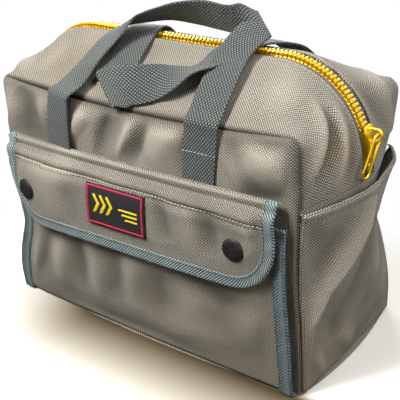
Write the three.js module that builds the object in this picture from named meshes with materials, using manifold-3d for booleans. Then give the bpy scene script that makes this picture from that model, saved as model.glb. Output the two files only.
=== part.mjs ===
// A zippered canvas tool bag, filled out as in use and standing on its flat base.
// Millimetres: +X runs to the right of the front, the front faces -Y and +Z is up.
// The origin is the middle of the underside.
import * as THREE from "three";
import { mergeVertices } from "three/addons/utils/BufferGeometryUtils.js";
import Module from "manifold-3d";

const wasm = await Module();
wasm.setup();

// Body
const bodyLength = 282;
const halfLength = bodyLength / 2;
const bodyDepth = 136;
const halfDepth = bodyDepth / 2;
const seamHeight = 203; // floor to the ends of the seam between a panel and the top
const crownRise = 30; // from there to the zip line
const crownHeight = seamHeight + crownRise;
const canvas = 1.2; // one layer of heavy cotton duck
const clearance = 0.3; // between pieces that are sewn or clamped together
const panelCornerRadius = 9; // top corners of the front and rear panels
const panelTopSpread = 1.5; // the panels are this much wider on each side at the top
const seamSag = 6; // the long top seams hang this much in their middle
const panelSwell = 4; // the filled front and rear stand out this much
const leftSwell = 6; // the front leans out this much more towards its left
const endSwell = 15; // the ends stand out this much under the zip
const zipBendRadius = 66; // the zip turns from the top down the ends on this arc
const crownSharpness = 1.3; // 1 is a gable, 2 a round top
const rearWaist = 13; // the rear corners are drawn in this much
const waistHeight = 104; // at this height
const waistReach = 84; // fading out this far above and below it
const leftFlare = 9; // the front left corner spreads this much at the floor
const flareTop = 120; // fading out at this height

// Base
const baseBow = 6; // the base bows out this much past the seam corners on each side
const baseCornerReach = 1.5; // and this much at its corners
const baseCornerRadius = 8;
const boardThickness = 2.5;
const boardInset = 9; // stiffener board to the inside of the panels
const boardCornerRadius = 12;

// Zip
const toothPitch = 3.4;
const toothRowWidth = 2.9;
const toothDepth = 1.2; // how far a tooth stands out of its row
const toothThickness = 2.8;
const teethFromEnd = 5; // and a stop: the rows end this far before the ends of the tape
const rowGap = 1.5; // between the tips of the two rows, for the slider's post
const zipTapeWidth = 12;
const zipTapeThickness = 0.8;
const zipOpening = 18; // between the canvas edges beside the teeth
const zipFlat = 17; // width of the flat strip that the zip runs in
const zipEndDrop = 14; // the zip runs this far straight down each end
const stopLength = 4;
const sliderAngle = 11; // closed slider, degrees above the start of the arc
const sliderLength = 24;
const sliderHeadWidth = 12;
const sliderTailWidth = 10.6;
const sliderPlate = 1.8;
const sliderFlange = 1.2;
const sliderPlay = 0.5; // between the slider's plate and the teeth
const seat = 0.1; // pieces of one casting run into each other by this much
const postThickness = 0.8;
const postLength = 5;
const postSetback = 2; // from the slider's head
const bailLength = 12;
const bailRise = 9.4;
const bailShift = 5; // from the slider's middle towards its head
const bailWidth = 2.4;
const bailBar = 1.6;
const pullLength = 34;
const pullWidth = 11.8;
const pullTopWidth = 11.8;
const pullBar = 2;
const pullThickness = 1.8;
const pullPlay = 0.6; // between its top bar and the bail, so that its corners turn clear
const pullLean = 7; // the hanging pull leans in against the end, degrees
const pullTilt = 24; // and hangs askew towards the front

// Front pocket and flap
const pocketInset = 7; // outer edge of the side tape to the corner seam
const pocketHalfWidth = halfLength - pocketInset;
const pocketMouth = 138; // height of the pocket's open edge
const pocketEdge = 4.5; // pocket face in front of the panel at the tape
const pocketSwell = 3.5; // and this much more in its middle
const mouthShare = 0.35; // share of the swell left at the mouth and the floor
const tapeWidth = 10; // binding tape folded over an edge
const tapeOverMouth = 2; // the side tapes run this far past the pocket's mouth
const tapeThickness = 2.6;
const tapeProud = 0.8; // the tape stands out this much over the cloth that it binds
const flapInset = 3; // the flap is this much narrower than the pocket on each side
const flapHalfWidth = pocketHalfWidth - flapInset;
const flapCornerRadius = 38;
const bindingTopGap = 1.2; // under the hinge line, so that the flap turns clear of its heading
const hingeOverMouth = 9; // seam that the flap bends at, over the pocket's mouth
const hingeHeight = pocketMouth + hingeOverMouth;
const headingHeight = 14; // from that seam to the folded top edge
const headingTop = hingeHeight + headingHeight;
const flapLength = 60;
const flapBottom = hingeHeight - flapLength;
const headingStand = 4.2; // outer face of the heading in front of the panel
const hingeStandLeft = 17; // hinge line in front of the corner seams, at its left end
const hingeStandRight = 13; // and at its right end
const flapFall = 17; // the flap lies on the pocket from this far under the hinge
const flapGap = 4.9; // outer face of the flap in front of the pocket's

// Snaps and label
const snapInset = 30; // flap's side edge to the middle of a snap
const snapX = flapHalfWidth - snapInset;
const snapShift = -4; // both snaps sit this much to the left
const snapAboveEdge = 31; // over the flap's lower edge
const snapHeight = flapBottom + snapAboveEdge;
const capRadius = 7.8;
const capHeight = 2.8;
const barrelRadius = 1.9;
const socketRadius = 6;
const socketHeight = 2;
const socketWall = 0.5;
const studRadius = 2.9;
const studBase = 0.8;
const studHeight = 2.2;
const postCapRadius = 5;
const postCapHeight = 1;
const holeInStud = 0.6; // the post is this much thinner than the cap's barrel
const labelX = -7.5;
const labelAboveEdge = 37; // its middle over the flap's lower edge
const labelZ = flapBottom + labelAboveEdge;
const labelWidth = 57;
const labelHeight = 33;
const labelThickness = 1.2;
const labelLift = 0.8; // the stiff label bridges the hollows of the flap behind it

// End and rear pockets
const endMouthDrop = 83; // from the zip line over the top to the end pockets' mouths
const endMouth = crownHeight - endMouthDrop;
const endEdge = 2.6; // pocket face in front of the end panel at its side seams
const endPocketSwell = 3;
const endFloorShare = 0.3;
const hemHeight = 8;
const hemProud = 0.6; // the rolled hem is this much thicker than the cloth on each face
const rearMouth = 146;
const rearEdge = 4.5;
const rearPocketSwell = 4;
const pocketFlare = 14; // the front pocket's left tape spreads this much at the floor

// Handles
const webbingWidth = 29;
const webbingThickness = 1.8;
const handleSpread = 67; // middle of the bag to the middle of each leg
const legLean = 6; // the sewn front legs run this much to the left on their way down
const legBottom = 141;
const handleHingeDrop = 1.5; // the loops turn this much under the top seams
const handleHingeHeight = seamHeight - handleHingeDrop;
const handleHingeStand = 2.4; // and this much in front of them
const handleHingeDepth = halfDepth + handleHingeStand;
const loopRise = 51; // top of the loops over the hinge lines
const legTopGap = 1; // under the hinge line, so that the loop turns clear
const creaseStretch = 1.42; // a fold at 45 degrees is longer than the webbing is wide

const panelHalfTop = halfLength + panelTopSpread;
const zipHalf = halfLength + endSwell;
const bendX = zipHalf - zipBendRadius;
const bendZ = crownHeight - zipBendRadius;
const baseTop = canvas;
const floorLevel = baseTop + clearance;
const gussetHalf = halfDepth - canvas - clearance;
const quarterTurn = Math.PI / 2;
const zipRun = bendX + zipBendRadius * quarterTurn + zipEndDrop;

const materials = {
  canvas: { color: "#8f8778", roughness: 0.95, metalness: 0 },
  webbing: { color: "#5a625f", roughness: 0.9, metalness: 0 },
  tape: { color: "#7b8b8d", roughness: 0.9, metalness: 0 },
  zipTape: { color: "#4a4650", roughness: 0.95, metalness: 0 },
  brass: { color: "#d9a52a", roughness: 0.3, metalness: 1 },
  snap: { color: "#2f2a2b", roughness: 0.4, metalness: 0.6 },
  label: { color: "#1c1b1d", roughness: 0.6, metalness: 0 },
  board: { color: "#3a3a3c", roughness: 0.8, metalness: 0 },
};

const bag = new THREE.Group();

function add(name, finish, geometry) {
  const mesh = new THREE.Mesh(geometry, new THREE.MeshStandardMaterial(materials[finish]));
  mesh.name = name;
  bag.add(mesh);
  return mesh;
}

function mix(a, b, t) {
  return a + (b - a) * t;
}

function clamp01(t) {
  return Math.min(1, Math.max(0, t));
}

function smooth(t) {
  const c = clamp01(t);
  return c * c * (3 - 2 * c);
}

// Six times the volume that the triangles enclose: negative when they face inwards.
function signedVolume(points, faces) {
  let total = 0;
  for (let i = 0; i < faces.length; i += 3) {
    total += points[faces[i]].dot(points[faces[i + 1]].clone().cross(points[faces[i + 2]]));
  }
  return total;
}

// A closed solid from shared points and triangles, turned to face outwards.
function closedSolid(points, faces) {
  if (signedVolume(points, faces) < 0) {
    faces.reverse();
  }
  const geometry = new THREE.BufferGeometry().setFromPoints(points);
  geometry.setIndex(faces);
  return geometry;
}

// A sheet of one thickness: surface(u, v) is its outer face over 0 to 1 both ways,
// `inward` points from the outer face to the inner one in the sheet's middle.
// An inset moves both faces that way.
function sheet(surface, uSteps, vSteps, thickness, inward, inset = 0) {
  const outer = [];
  const inner = [];
  const step = 1e-3;
  const normalAt = (u, v) => {
    const du = surface(Math.min(1, u + step), v).sub(surface(Math.max(0, u - step), v));
    const dv = surface(u, Math.min(1, v + step)).sub(surface(u, Math.max(0, v - step)));
    return du.cross(dv).normalize();
  };
  const sign = Math.sign(normalAt(0.5, 0.5).dot(inward));
  for (let i = 0; i <= uSteps; i++) {
    for (let j = 0; j <= vSteps; j++) {
      const normal = normalAt(i / uSteps, j / vSteps).multiplyScalar(sign);
      const point = surface(i / uSteps, j / vSteps).addScaledVector(normal, inset);
      outer.push(point);
      inner.push(point.clone().addScaledVector(normal, thickness));
    }
  }
  const count = outer.length;
  const at = (i, j) => i * (vSteps + 1) + j;
  const faces = [];
  const quad = (a, b, c, d) => faces.push(a, b, c, a, c, d);
  for (let i = 0; i < uSteps; i++) {
    for (let j = 0; j < vSteps; j++) {
      quad(at(i, j), at(i + 1, j), at(i + 1, j + 1), at(i, j + 1));
      quad(count + at(i, j), count + at(i, j + 1), count + at(i + 1, j + 1), count + at(i + 1, j));
    }
  }
  for (let i = 0; i < uSteps; i++) {
    quad(at(i + 1, 0), at(i, 0), count + at(i, 0), count + at(i + 1, 0));
    quad(at(i, vSteps), at(i + 1, vSteps), count + at(i + 1, vSteps), count + at(i, vSteps));
  }
  for (let j = 0; j < vSteps; j++) {
    quad(at(0, j), at(0, j + 1), count + at(0, j + 1), count + at(0, j));
    quad(at(uSteps, j + 1), at(uSteps, j), count + at(uSteps, j), count + at(uSteps, j + 1));
  }
  return closedSolid(outer.concat(inner), faces);
}

// A strap of webbing through stations of [middle, half of the strap across].
function ribbon(stations, stepsBetween) {
  const middles = new THREE.CatmullRomCurve3(stations.map((s) => s[0]), false, "centripetal");
  const steps = (stations.length - 1) * stepsBetween;
  const points = [];
  for (let i = 0; i <= steps; i++) {
    const t = i / steps;
    const place = t * (stations.length - 1);
    const before = Math.min(stations.length - 2, Math.floor(place));
    const [, from] = stations[before];
    const [, to] = stations[before + 1];
    const reach = mix(from.length(), to.length(), place - before);
    const half = from.clone().lerp(to, place - before).setLength(reach);
    const normal = middles.getTangent(t).cross(half).setLength(webbingThickness / 2);
    const middle = middles.getPoint(t);
    for (const [side, face] of [[-1, -1], [1, -1], [1, 1], [-1, 1]]) {
      points.push(middle.clone().addScaledVector(half, side).addScaledVector(normal, face));
    }
  }
  return tube(points, steps);
}

// A closed solid through rings of four points.
function tube(points, steps) {
  const faces = [0, 2, 1, 0, 3, 2];
  for (let i = 0; i < steps; i++) {
    for (let k = 0; k < 4; k++) {
      const a = 4 * i + k;
      const b = 4 * i + ((k + 1) % 4);
      faces.push(a, b, b + 4, a, b + 4, a + 4);
    }
  }
  const last = 4 * steps;
  faces.push(last, last + 1, last + 2, last, last + 2, last + 3);
  return closedSolid(points, faces);
}

function toManifold(geometry) {
  const bare = geometry.clone();
  bare.deleteAttribute("normal");
  bare.deleteAttribute("uv");
  const merged = mergeVertices(bare, 1e-4);
  const vertProperties = merged.getAttribute("position").array;
  const triVerts = new Uint32Array(merged.index.array);
  return new wasm.Manifold(new wasm.Mesh({ numProp: 3, vertProperties, triVerts }));
}

function fromManifold(solid) {
  const mesh = solid.getMesh();
  const geometry = new THREE.BufferGeometry();
  geometry.setAttribute("position", new THREE.BufferAttribute(mesh.vertProperties, 3));
  geometry.setIndex(new THREE.BufferAttribute(mesh.triVerts, 1));
  return geometry;
}

function joined(geometries) {
  const solids = geometries.map(toManifold);
  return fromManifold(solids.reduce((a, b) => a.add(b)));
}

function pierced(geometry, holes) {
  const solids = holes.map(toManifold);
  return fromManifold(solids.reduce((a, b) => a.subtract(b), toManifold(geometry)));
}

// The outline of an end under the bend: how far out it is at a height.
function endReach(topReach, z) {
  return halfLength + (topReach - halfLength) * Math.sin((Math.PI / 2) * clamp01(z / bendZ));
}

// How far out a corner seam is at a height: the rear ones have a waist,
// and the front left one spreads at the floor.
function cornerReach(side, rear, z) {
  const reach = endReach(panelHalfTop, z);
  if (rear) {
    return reach - waist(z);
  }
  return side < 0 ? reach + leftFlare * (1 - smooth(z / flareTop)) : reach;
}

function waist(z) {
  const t = Math.min(1, Math.abs(z - waistHeight) / waistReach);
  return rearWaist * Math.cos((Math.PI / 2) * t) ** 2;
}

// One half of a seam line beside the front or rear panel, as distance out and height.
// s is 0 at the floor, 1 where the zip starts to bend, 2 where it lies flat and 3 in the middle.
function seamLine(s, side, rear) {
  if (s <= 1) {
    return [cornerReach(side, rear, s * bendZ), s * bendZ];
  }
  const straight = seamHeight - panelCornerRadius - bendZ;
  const arc = panelCornerRadius * quarterTurn;
  const cornerX = panelHalfTop - panelCornerRadius;
  const along = Math.min(1, s - 1) * (straight + arc + cornerX - bendX);
  if (s <= 2 && along <= straight) {
    return [panelHalfTop, bendZ + along];
  }
  if (s <= 2 && along <= straight + arc) {
    const turn = (along - straight) / panelCornerRadius;
    const x = cornerX + panelCornerRadius * Math.cos(turn);
    return [x, seamHeight - panelCornerRadius * (1 - Math.sin(turn))];
  }
  const x = s <= 2 ? cornerX - (along - straight - arc) : bendX * (3 - s);
  return [x, seamHeight - seamSag * (1 - (x / cornerX) ** 2)];
}

// Right half of the zip line, over the same s.
function zipLine(s) {
  if (s <= 1) {
    return [endReach(zipHalf, s * bendZ), s * bendZ];
  }
  if (s <= 2) {
    const turn = (s - 1) * quarterTurn;
    return [bendX + zipBendRadius * Math.cos(turn), bendZ + zipBendRadius * Math.sin(turn)];
  }
  return [bendX * (3 - s), crownHeight];
}

// The canvas that wraps the ends and the top: s runs 0 to 6 from the left end's foot
// over the top to the right end's, w runs 0 to 1 from the front seam to the rear one.
function gussetPoint(s, w) {
  const half = s <= 3 ? s : 6 - s;
  const side = s <= 3 ? -1 : 1;
  const [seamX, seamZ] = seamLine(half, side, w > 0.5);
  const [zipX, zipZ] = zipLine(half);
  const y = mix(-gussetHalf, gussetHalf, w);
  const past = Math.max(0, Math.abs(y) - zipFlat / 2) / (gussetHalf - zipFlat / 2);
  const share = 1 - past ** crownSharpness;
  return new THREE.Vector3(side * mix(seamX, zipX, share), y, mix(seamZ, zipZ, share));
}

function wAt(y) {
  return 0.5 + y / (2 * gussetHalf);
}

// How far the front panel stands out from the plane of its seams.
function frontStand(x, z) {
  const u = x / cornerReach(Math.sign(x), false, z);
  const rise = Math.sin(Math.PI * clamp01(z / seamHeight)) ** 0.6;
  const lean = 0.5 * (1 - u) * Math.max(0, 1 - Math.abs(u) ** 8);
  return rise * (panelSwell * Math.max(0, 1 - u * u) + leftSwell * lean);
}

function rearStand(x, z) {
  const u = x / halfLength;
  const rise = Math.sin(Math.PI * clamp01(z / seamHeight)) ** 0.6;
  return rise * panelSwell * Math.max(0, 1 - u * u);
}

function pocketShape(x, z, mouth) {
  const across = Math.max(0, 1 - (x / pocketHalfWidth) ** 2) ** 0.6;
  const up = mix(mouthShare, 1, Math.sin(Math.PI * clamp01(z / mouth)));
  return across * up;
}

function pocketStand(x, z) {
  return frontStand(x, z) + pocketEdge + pocketSwell * pocketShape(x, z, pocketMouth);
}

function rearPocketStand(x, z) {
  return rearStand(x, z) + rearEdge + rearPocketSwell * pocketShape(x, z, rearMouth);
}

// Hinge line of the flap: straight, and a little further out at its left.
function hingeStand(x) {
  return mix(hingeStandLeft, hingeStandRight, 0.5 + x / (2 * flapHalfWidth));
}

function flapStand(x, z) {
  if (z >= hingeHeight) {
    const t = smooth((z - hingeHeight) / (headingTop - hingeHeight));
    return mix(hingeStand(x), frontStand(x, z) + headingStand, t);
  }
  const t = smooth((hingeHeight - z) / flapFall);
  return mix(hingeStand(x), pocketStand(x, Math.min(z, pocketMouth)) + flapGap, t);
}

function onFront(x, z, stand) {
  return new THREE.Vector3(x, -halfDepth - stand, z);
}

function onRear(x, z, stand) {
  return new THREE.Vector3(x, halfDepth + stand, z);
}

const toRear = new THREE.Vector3(0, 1, 0);
const toFront = new THREE.Vector3(0, -1, 0);
const down = new THREE.Vector3(0, 0, -1);
const toLeft = new THREE.Vector3(-1, 0, 0);
const toRight = new THREE.Vector3(1, 0, 0);

// Front and rear panels, with rounded top corners and a top edge that sags a little.
function panel(stand, place, inward, rear) {
  const corner = seamHeight - panelCornerRadius;
  const surface = (u, v) => {
    const eased = v < 0.9 ? v * 0.97 / 0.9 : mix(0.97, 1, (v - 0.9) / 0.1);
    const level = mix(floorLevel, seamHeight, eased);
    const over = Math.max(0, level - corner);
    const rounding = panelCornerRadius - Math.sqrt(panelCornerRadius ** 2 - over ** 2);
    const left = rounding - cornerReach(-1, rear, level);
    const x = mix(left, cornerReach(1, rear, level) - rounding, u);
    const reach = panelHalfTop - panelCornerRadius;
    const fade = smooth((level - bendZ) / (seamHeight - bendZ));
    const sag = seamSag * Math.max(0, 1 - (x / reach) ** 2) * fade;
    return place(x, level - sag, stand(x, level));
  };
  return sheet(surface, 14, 12, canvas, inward);
}

// The base's outline follows the lower edges of the panels and the pockets.
function baseOutline() {
  const x = halfLength + baseCornerReach;
  const y = halfDepth + baseCornerReach;
  const r = baseCornerRadius;
  const leftX = -x - leftFlare;
  const shape = new THREE.Shape();
  shape.moveTo(x - r, -y);
  shape.quadraticCurveTo(x, -y, x, -y + r);
  shape.quadraticCurveTo(x + 2 * baseBow, 0, x, y - r);
  shape.quadraticCurveTo(x, y, x - r, y);
  shape.quadraticCurveTo(0, y + 2 * baseBow, -x + r, y);
  shape.quadraticCurveTo(-x, y, -x, y - r);
  shape.quadraticCurveTo(mix(-x, leftX, 0.5) - 2 * baseBow, 0, leftX, -y + r);
  shape.quadraticCurveTo(leftX, -y, leftX + r, -y);
  shape.quadraticCurveTo(0, -y - 2 * baseBow, x - r, -y);
  return shape;
}

function boardOutline() {
  const x = halfLength - boardInset;
  const y = halfDepth - boardInset;
  const r = boardCornerRadius;
  const shape = new THREE.Shape();
  shape.moveTo(x - r, -y);
  shape.quadraticCurveTo(x, -y, x, -y + r);
  shape.lineTo(x, y - r);
  shape.quadraticCurveTo(x, y, x - r, y);
  shape.lineTo(-x + r, y);
  shape.quadraticCurveTo(-x, y, -x, y - r);
  shape.lineTo(-x, -y + r);
  shape.quadraticCurveTo(-x, -y, -x + r, -y);
  shape.lineTo(x - r, -y);
  return shape;
}

function slab(shape, thickness, bottom) {
  const options = { depth: thickness, bevelEnabled: false, curveSegments: 8 };
  return new THREE.ExtrudeGeometry(shape, options).translate(0, 0, bottom);
}

const zipFoot = 1 - zipEndDrop / bendZ; // where the zip and its gusset end, on the scale of s

function endPanel(side) {
  const topS = zipFoot - clearance / bendZ;
  const lowS = floorLevel / bendZ;
  const surface = (u, v) => {
    const s = mix(lowS, topS, v);
    return gussetPoint(side < 0 ? s : 6 - s, u);
  };
  return sheet(surface, 8, 6, canvas, side < 0 ? toRight : toLeft);
}

// One half of the zip gusset: canvas from a long seam to the edge beside the teeth.
function zipGusset(front) {
  const edge = wAt(zipOpening / 2);
  const surface = (u, v) => {
    const away = v ** 1.6;
    const w = front ? mix(1 - edge, 0, away) : mix(edge, 1, away);
    return gussetPoint(mix(zipFoot, 6 - zipFoot, spread(u)), w);
  };
  return sheet(surface, 30, 4, canvas, down);
}

// Puts most of a strip's steps into its bends.
function spread(u) {
  const stops = [0, 0.04, 0.4, 0.6, 0.96, 1];
  const places = [0, 0.02, 0.345, 0.655, 0.98, 1];
  const i = Math.min(stops.length - 2, stops.findIndex((stop, k) => u <= (stops[k + 1] ?? 1)));
  return mix(places[i], places[i + 1], (u - stops[i]) / (stops[i + 1] - stops[i]));
}

// A point of the zip: d runs along it from the middle of the top, positive to the right,
// y across it and lift away from the bag.
function zipPoint(d, y, lift) {
  const side = Math.sign(d) || 1;
  const run = Math.abs(d);
  if (run <= bendX) {
    return new THREE.Vector3(d, y, crownHeight + lift);
  }
  const turn = (run - bendX) / zipBendRadius;
  if (turn <= quarterTurn) {
    const reach = zipBendRadius + lift;
    return new THREE.Vector3(side * (bendX + reach * Math.sin(turn)), y, bendZ + reach * Math.cos(turn));
  }
  const z = bendZ - (run - bendX - zipBendRadius * quarterTurn);
  return new THREE.Vector3(side * (endReach(zipHalf, z) + lift), y, z);
}

// A block that follows the zip between two places along it.
function alongZip(from, to, y0, y1, topLift, thickness, steps) {
  const points = [];
  for (let i = 0; i <= steps; i++) {
    const d = mix(from, to, i / steps);
    const near = typeof y0 === "function" ? y0(i) : y0;
    const far = typeof y1 === "function" ? y1(i) : y1;
    points.push(zipPoint(d, near, topLift - thickness), zipPoint(d, far, topLift - thickness));
    points.push(zipPoint(d, far, topLift), zipPoint(d, near, topLift));
  }
  return tube(points, steps);
}

const tapeTop = -canvas - clearance; // lift of the zip tape's outer face
const toothTop = tapeTop + clearance + toothThickness;
const teethRun = zipRun - stopLength - teethFromEnd;

// The zip's tape lies under the canvas, from the slit between the rows outwards.
function zipTape(side) {
  const near = wAt(side * (rowGap / 2 + clearance));
  const far = wAt(side * zipTapeWidth);
  const surface = (u, v) => gussetPoint(mix(zipFoot, 6 - zipFoot, spread(u)), mix(near, far, v));
  return sheet(surface, 30, 2, zipTapeThickness, down, canvas + clearance);
}

// A row of teeth on its bead: tips and gaps take turns, half a pitch apart on the two sides.
function zipTeeth(side) {
  const count = Math.round((2 * teethRun) / toothPitch);
  const phase = side < 0 ? 0 : 1;
  const tip = rowGap / 2;
  const inner = (i) => side * ((i + phase) % 2 ? tip : tip + toothDepth);
  const outer = side * (tip + toothRowWidth);
  return alongZip(-teethRun, teethRun, inner, outer, toothTop, toothThickness, 2 * count);
}

const sliderTurn = THREE.MathUtils.degToRad(sliderAngle);
const sliderRun = bendX + zipBendRadius * (quarterTurn - sliderTurn);
const plateLift = toothTop + sliderPlay + sliderPlate;

function zipSlider() {
  const head = sliderRun - sliderLength / 2;
  const tail = sliderRun + sliderLength / 2;
  const half = (i) => mix(sliderHeadWidth, sliderTailWidth, i / 6) / 2;
  const upper = alongZip(head, tail, (i) => -half(i), half, plateLift, sliderPlate, 6);
  const flangeTop = plateLift - seat;
  const flangeHeight = flangeTop - tapeTop - clearance;
  const near = (i) => half(i) - sliderFlange;
  const right = alongZip(head, tail, near, half, flangeTop, flangeHeight, 6);
  const left = alongZip(head, tail, (i) => -near(i), (i) => -half(i), flangeTop, flangeHeight, 6);
  const lowerTop = tapeTop - zipTapeThickness - 2 * clearance;
  const lower = alongZip(head, tail, (i) => -half(i), half, lowerTop, sliderPlate, 6);
  const postFrom = head + postSetback;
  const postTop = plateLift - sliderPlate / 2;
  const postHeight = postTop - lowerTop + sliderPlate / 2;
  const postHalf = postThickness / 2;
  const post = alongZip(postFrom, postFrom + postLength, -postHalf, postHalf, postTop, postHeight, 2);
  return joined([upper, right, left, lower, post]);
}

// The bail stands a little nearer to the slider's head than its middle.
const bailTurn = sliderTurn + bailShift / (zipBendRadius + plateLift);

// A place at the bail, away from the bag.
function bailPoint(lift) {
  const reach = zipBendRadius + lift;
  return new THREE.Vector3(bendX + reach * Math.cos(bailTurn), 0, bendZ + reach * Math.sin(bailTurn));
}

function zipBail() {
  const foot = plateLift + seat;
  const half = bailLength / 2;
  const crown = plateLift + bailRise;
  const shape = new THREE.Shape();
  shape.moveTo(-half, foot);
  shape.quadraticCurveTo(-half, crown, 0, crown);
  shape.quadraticCurveTo(half, crown, half, foot);
  shape.lineTo(half - bailBar, foot);
  shape.quadraticCurveTo(half - bailBar, crown - bailBar, 0, crown - bailBar);
  shape.quadraticCurveTo(-half + bailBar, crown - bailBar, -half + bailBar, foot);
  shape.closePath();
  const options = { depth: bailWidth, bevelEnabled: false, curveSegments: 8 };
  const bail = new THREE.ExtrudeGeometry(shape, options).translate(0, 0, -bailWidth / 2);
  bail.rotateX(quarterTurn);
  bail.rotateY(quarterTurn - bailTurn);
  const place = bailPoint(0);
  return bail.translate(place.x, 0, place.z);
}

// Where the pull turns: its top bar lies under the bail's crown.
const pullLift = plateLift + bailRise - bailBar - pullPlay - pullBar / 2;
const pullPivot = bailPoint(pullLift);

function rounded(halfTop, halfBottom, top, bottom) {
  const shape = new THREE.Shape();
  shape.moveTo(halfTop, top - halfTop);
  shape.quadraticCurveTo(halfTop, top, 0, top);
  shape.quadraticCurveTo(-halfTop, top, -halfTop, top - halfTop);
  shape.lineTo(-halfBottom, bottom + halfBottom);
  shape.quadraticCurveTo(-halfBottom, bottom, 0, bottom);
  shape.quadraticCurveTo(halfBottom, bottom, halfBottom, bottom + halfBottom);
  shape.closePath();
  return shape;
}

function zipPull() {
  const top = pullBar / 2;
  const outline = rounded(pullTopWidth / 2, pullWidth / 2, top, top - pullLength);
  const eyeTop = pullTopWidth / 2 - pullBar;
  const eyeBottom = pullWidth / 2 - pullBar;
  outline.holes.push(rounded(eyeTop, eyeBottom, top - pullBar, top - pullLength + pullBar));
  const options = { depth: pullThickness, bevelEnabled: false, curveSegments: 6 };
  const ring = new THREE.ExtrudeGeometry(outline, options).translate(0, 0, -pullThickness / 2);
  ring.rotateX(quarterTurn);
  ring.rotateZ(quarterTurn);
  ring.rotateY(THREE.MathUtils.degToRad(pullLean));
  ring.rotateX(-THREE.MathUtils.degToRad(pullTilt));
  return ring.translate(pullPivot.x, 0, pullPivot.z);
}

function snapPlace(side, stand) {
  const x = side * snapX + snapShift;
  return onFront(x, snapHeight, stand(x, snapHeight));
}

function snapAxis(side, stand) {
  const x = side * snapX + snapShift;
  const across = stand(x + 1, snapHeight) - stand(x - 1, snapHeight);
  const up = stand(x, snapHeight + 1) - stand(x, snapHeight - 1);
  return new THREE.Vector3(-across / 2, -1, -up / 2).normalize();
}

// Turns a piece whose axis is +Y so that it points out of the flap at a snap.
function atSnap(geometry, side) {
  const out = snapAxis(side, flapStand);
  const turn = new THREE.Quaternion().setFromUnitVectors(new THREE.Vector3(0, 1, 0), out);
  const place = snapPlace(side, flapStand);
  return geometry.applyQuaternion(turn).translate(place.x, place.y, place.z);
}

function snapHole(side, depth) {
  const hole = new THREE.CylinderGeometry(barrelRadius + clearance, barrelRadius + clearance, 5, 12);
  return atSnap(hole.translate(0, depth, 0), side);
}

const socketTop = -canvas - clearance;
const pocketFace = -flapGap;

function snapCap(side) {
  const foot = socketTop - socketWall - seat;
  const profile = [[0, foot], [barrelRadius, foot]];
  profile.push([barrelRadius, clearance], [capRadius, clearance], [capRadius, clearance + 0.7]);
  profile.push([capRadius * 0.8, capHeight * 0.75], [capRadius * 0.45, capHeight * 0.95], [0, capHeight]);
  return atSnap(turned(profile, 20), side);
}

function snapSocket(side) {
  const bore = studRadius + clearance;
  const low = socketTop - socketHeight;
  const neck = barrelRadius + clearance;
  const step = socketTop - socketWall;
  const profile = [[neck, socketTop], [neck, step], [bore, step], [bore, low]];
  profile.push([socketRadius, low], [socketRadius, socketTop], [neck, socketTop]);
  return atSnap(turned(profile, 20), side);
}

function snapStud(side) {
  const foot = pocketFace + clearance;
  const crown = foot + studHeight;
  const bore = barrelRadius - holeInStud;
  const rim = socketRadius - holeInStud;
  const profile = [[bore, foot], [rim, foot], [rim, foot + studBase]];
  profile.push([studRadius, foot + studBase], [studRadius, crown - 0.4], [studRadius - 0.4, crown]);
  profile.push([bore, crown], [bore, foot]);
  return atSnap(turned(profile, 20), side);
}

function snapPost(side) {
  const capTop = pocketFace - canvas - clearance - seat;
  const stem = barrelRadius - holeInStud - clearance;
  const tip = pocketFace + clearance + studHeight - holeInStud;
  const profile = [[0, capTop - postCapHeight], [postCapRadius, capTop - postCapHeight]];
  profile.push([postCapRadius, capTop], [stem, capTop], [stem, tip], [0, tip]);
  return atSnap(turned(profile, 20), side);
}

function turned(profile, segments) {
  const points = profile.map(([r, y]) => new THREE.Vector2(r, y));
  return mergeVertices(withoutExtras(new THREE.LatheGeometry(points, segments)), 1e-4);
}

function withoutExtras(geometry) {
  geometry.deleteAttribute("normal");
  geometry.deleteAttribute("uv");
  return geometry;
}

// Front pocket: an open-topped sheet closed at its sides by the tape.
function frontPocket() {
  const half = pocketHalfWidth - tapeWidth - 2 * clearance;
  const surface = (u, v) => {
    const z = mix(floorLevel, pocketMouth, v);
    const x = mix(-half - frontShift(z, -1), half, u);
    return onFront(x, z, pocketStand(x, z));
  };
  const cloth = sheet(surface, 12, 7, canvas, toRear);
  return pierced(cloth, [-1, 1].map((side) => snapHole(side, pocketFace)));
}

// How far a side tape is moved outwards at a height, from its place at the pocket's mouth.
function frontShift(z, side) {
  return side < 0 ? pocketFlare * (1 - smooth(z / flareTop)) : 0;
}

function rearShift(z) {
  return -waist(z);
}

function pocketTape(side, stand, shift, place, mouth, inward) {
  const surface = (u, v) => {
    const z = mix(floorLevel, mouth + tapeOverMouth, v);
    const inner = pocketHalfWidth - tapeWidth + shift(z, side);
    const x = side * (inner + tapeWidth * u);
    return place(x, z, stand(side * inner, Math.min(z, mouth)) + tapeProud);
  };
  return sheet(surface, 1, 8, pocketEdge + tapeProud - 2 * clearance, inward);
}

// Half width of the flap at a height, with its rounded lower corners.
function flapReach(z, inset) {
  const radius = flapCornerRadius - inset;
  const rise = z - flapBottom - inset;
  const over = Math.max(0, radius - rise);
  return flapHalfWidth - inset - radius + Math.sqrt(Math.max(0, radius ** 2 - over ** 2));
}

function frontFlap() {
  const inset = tapeWidth + 2 * clearance;
  const low = flapBottom + inset;
  const surface = (u, v) => {
    const t = mix(v, Math.sin(v * quarterTurn), 0.5);
    const z = mix(hingeHeight - clearance, low, t);
    const x = mix(-1, 1, u) * flapReach(z, inset);
    return onFront(x, z, flapStand(x, z));
  };
  const cloth = sheet(surface, 14, 12, canvas, toRear);
  return pierced(cloth, [-1, 1].map((side) => snapHole(side, 0)));
}

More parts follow.
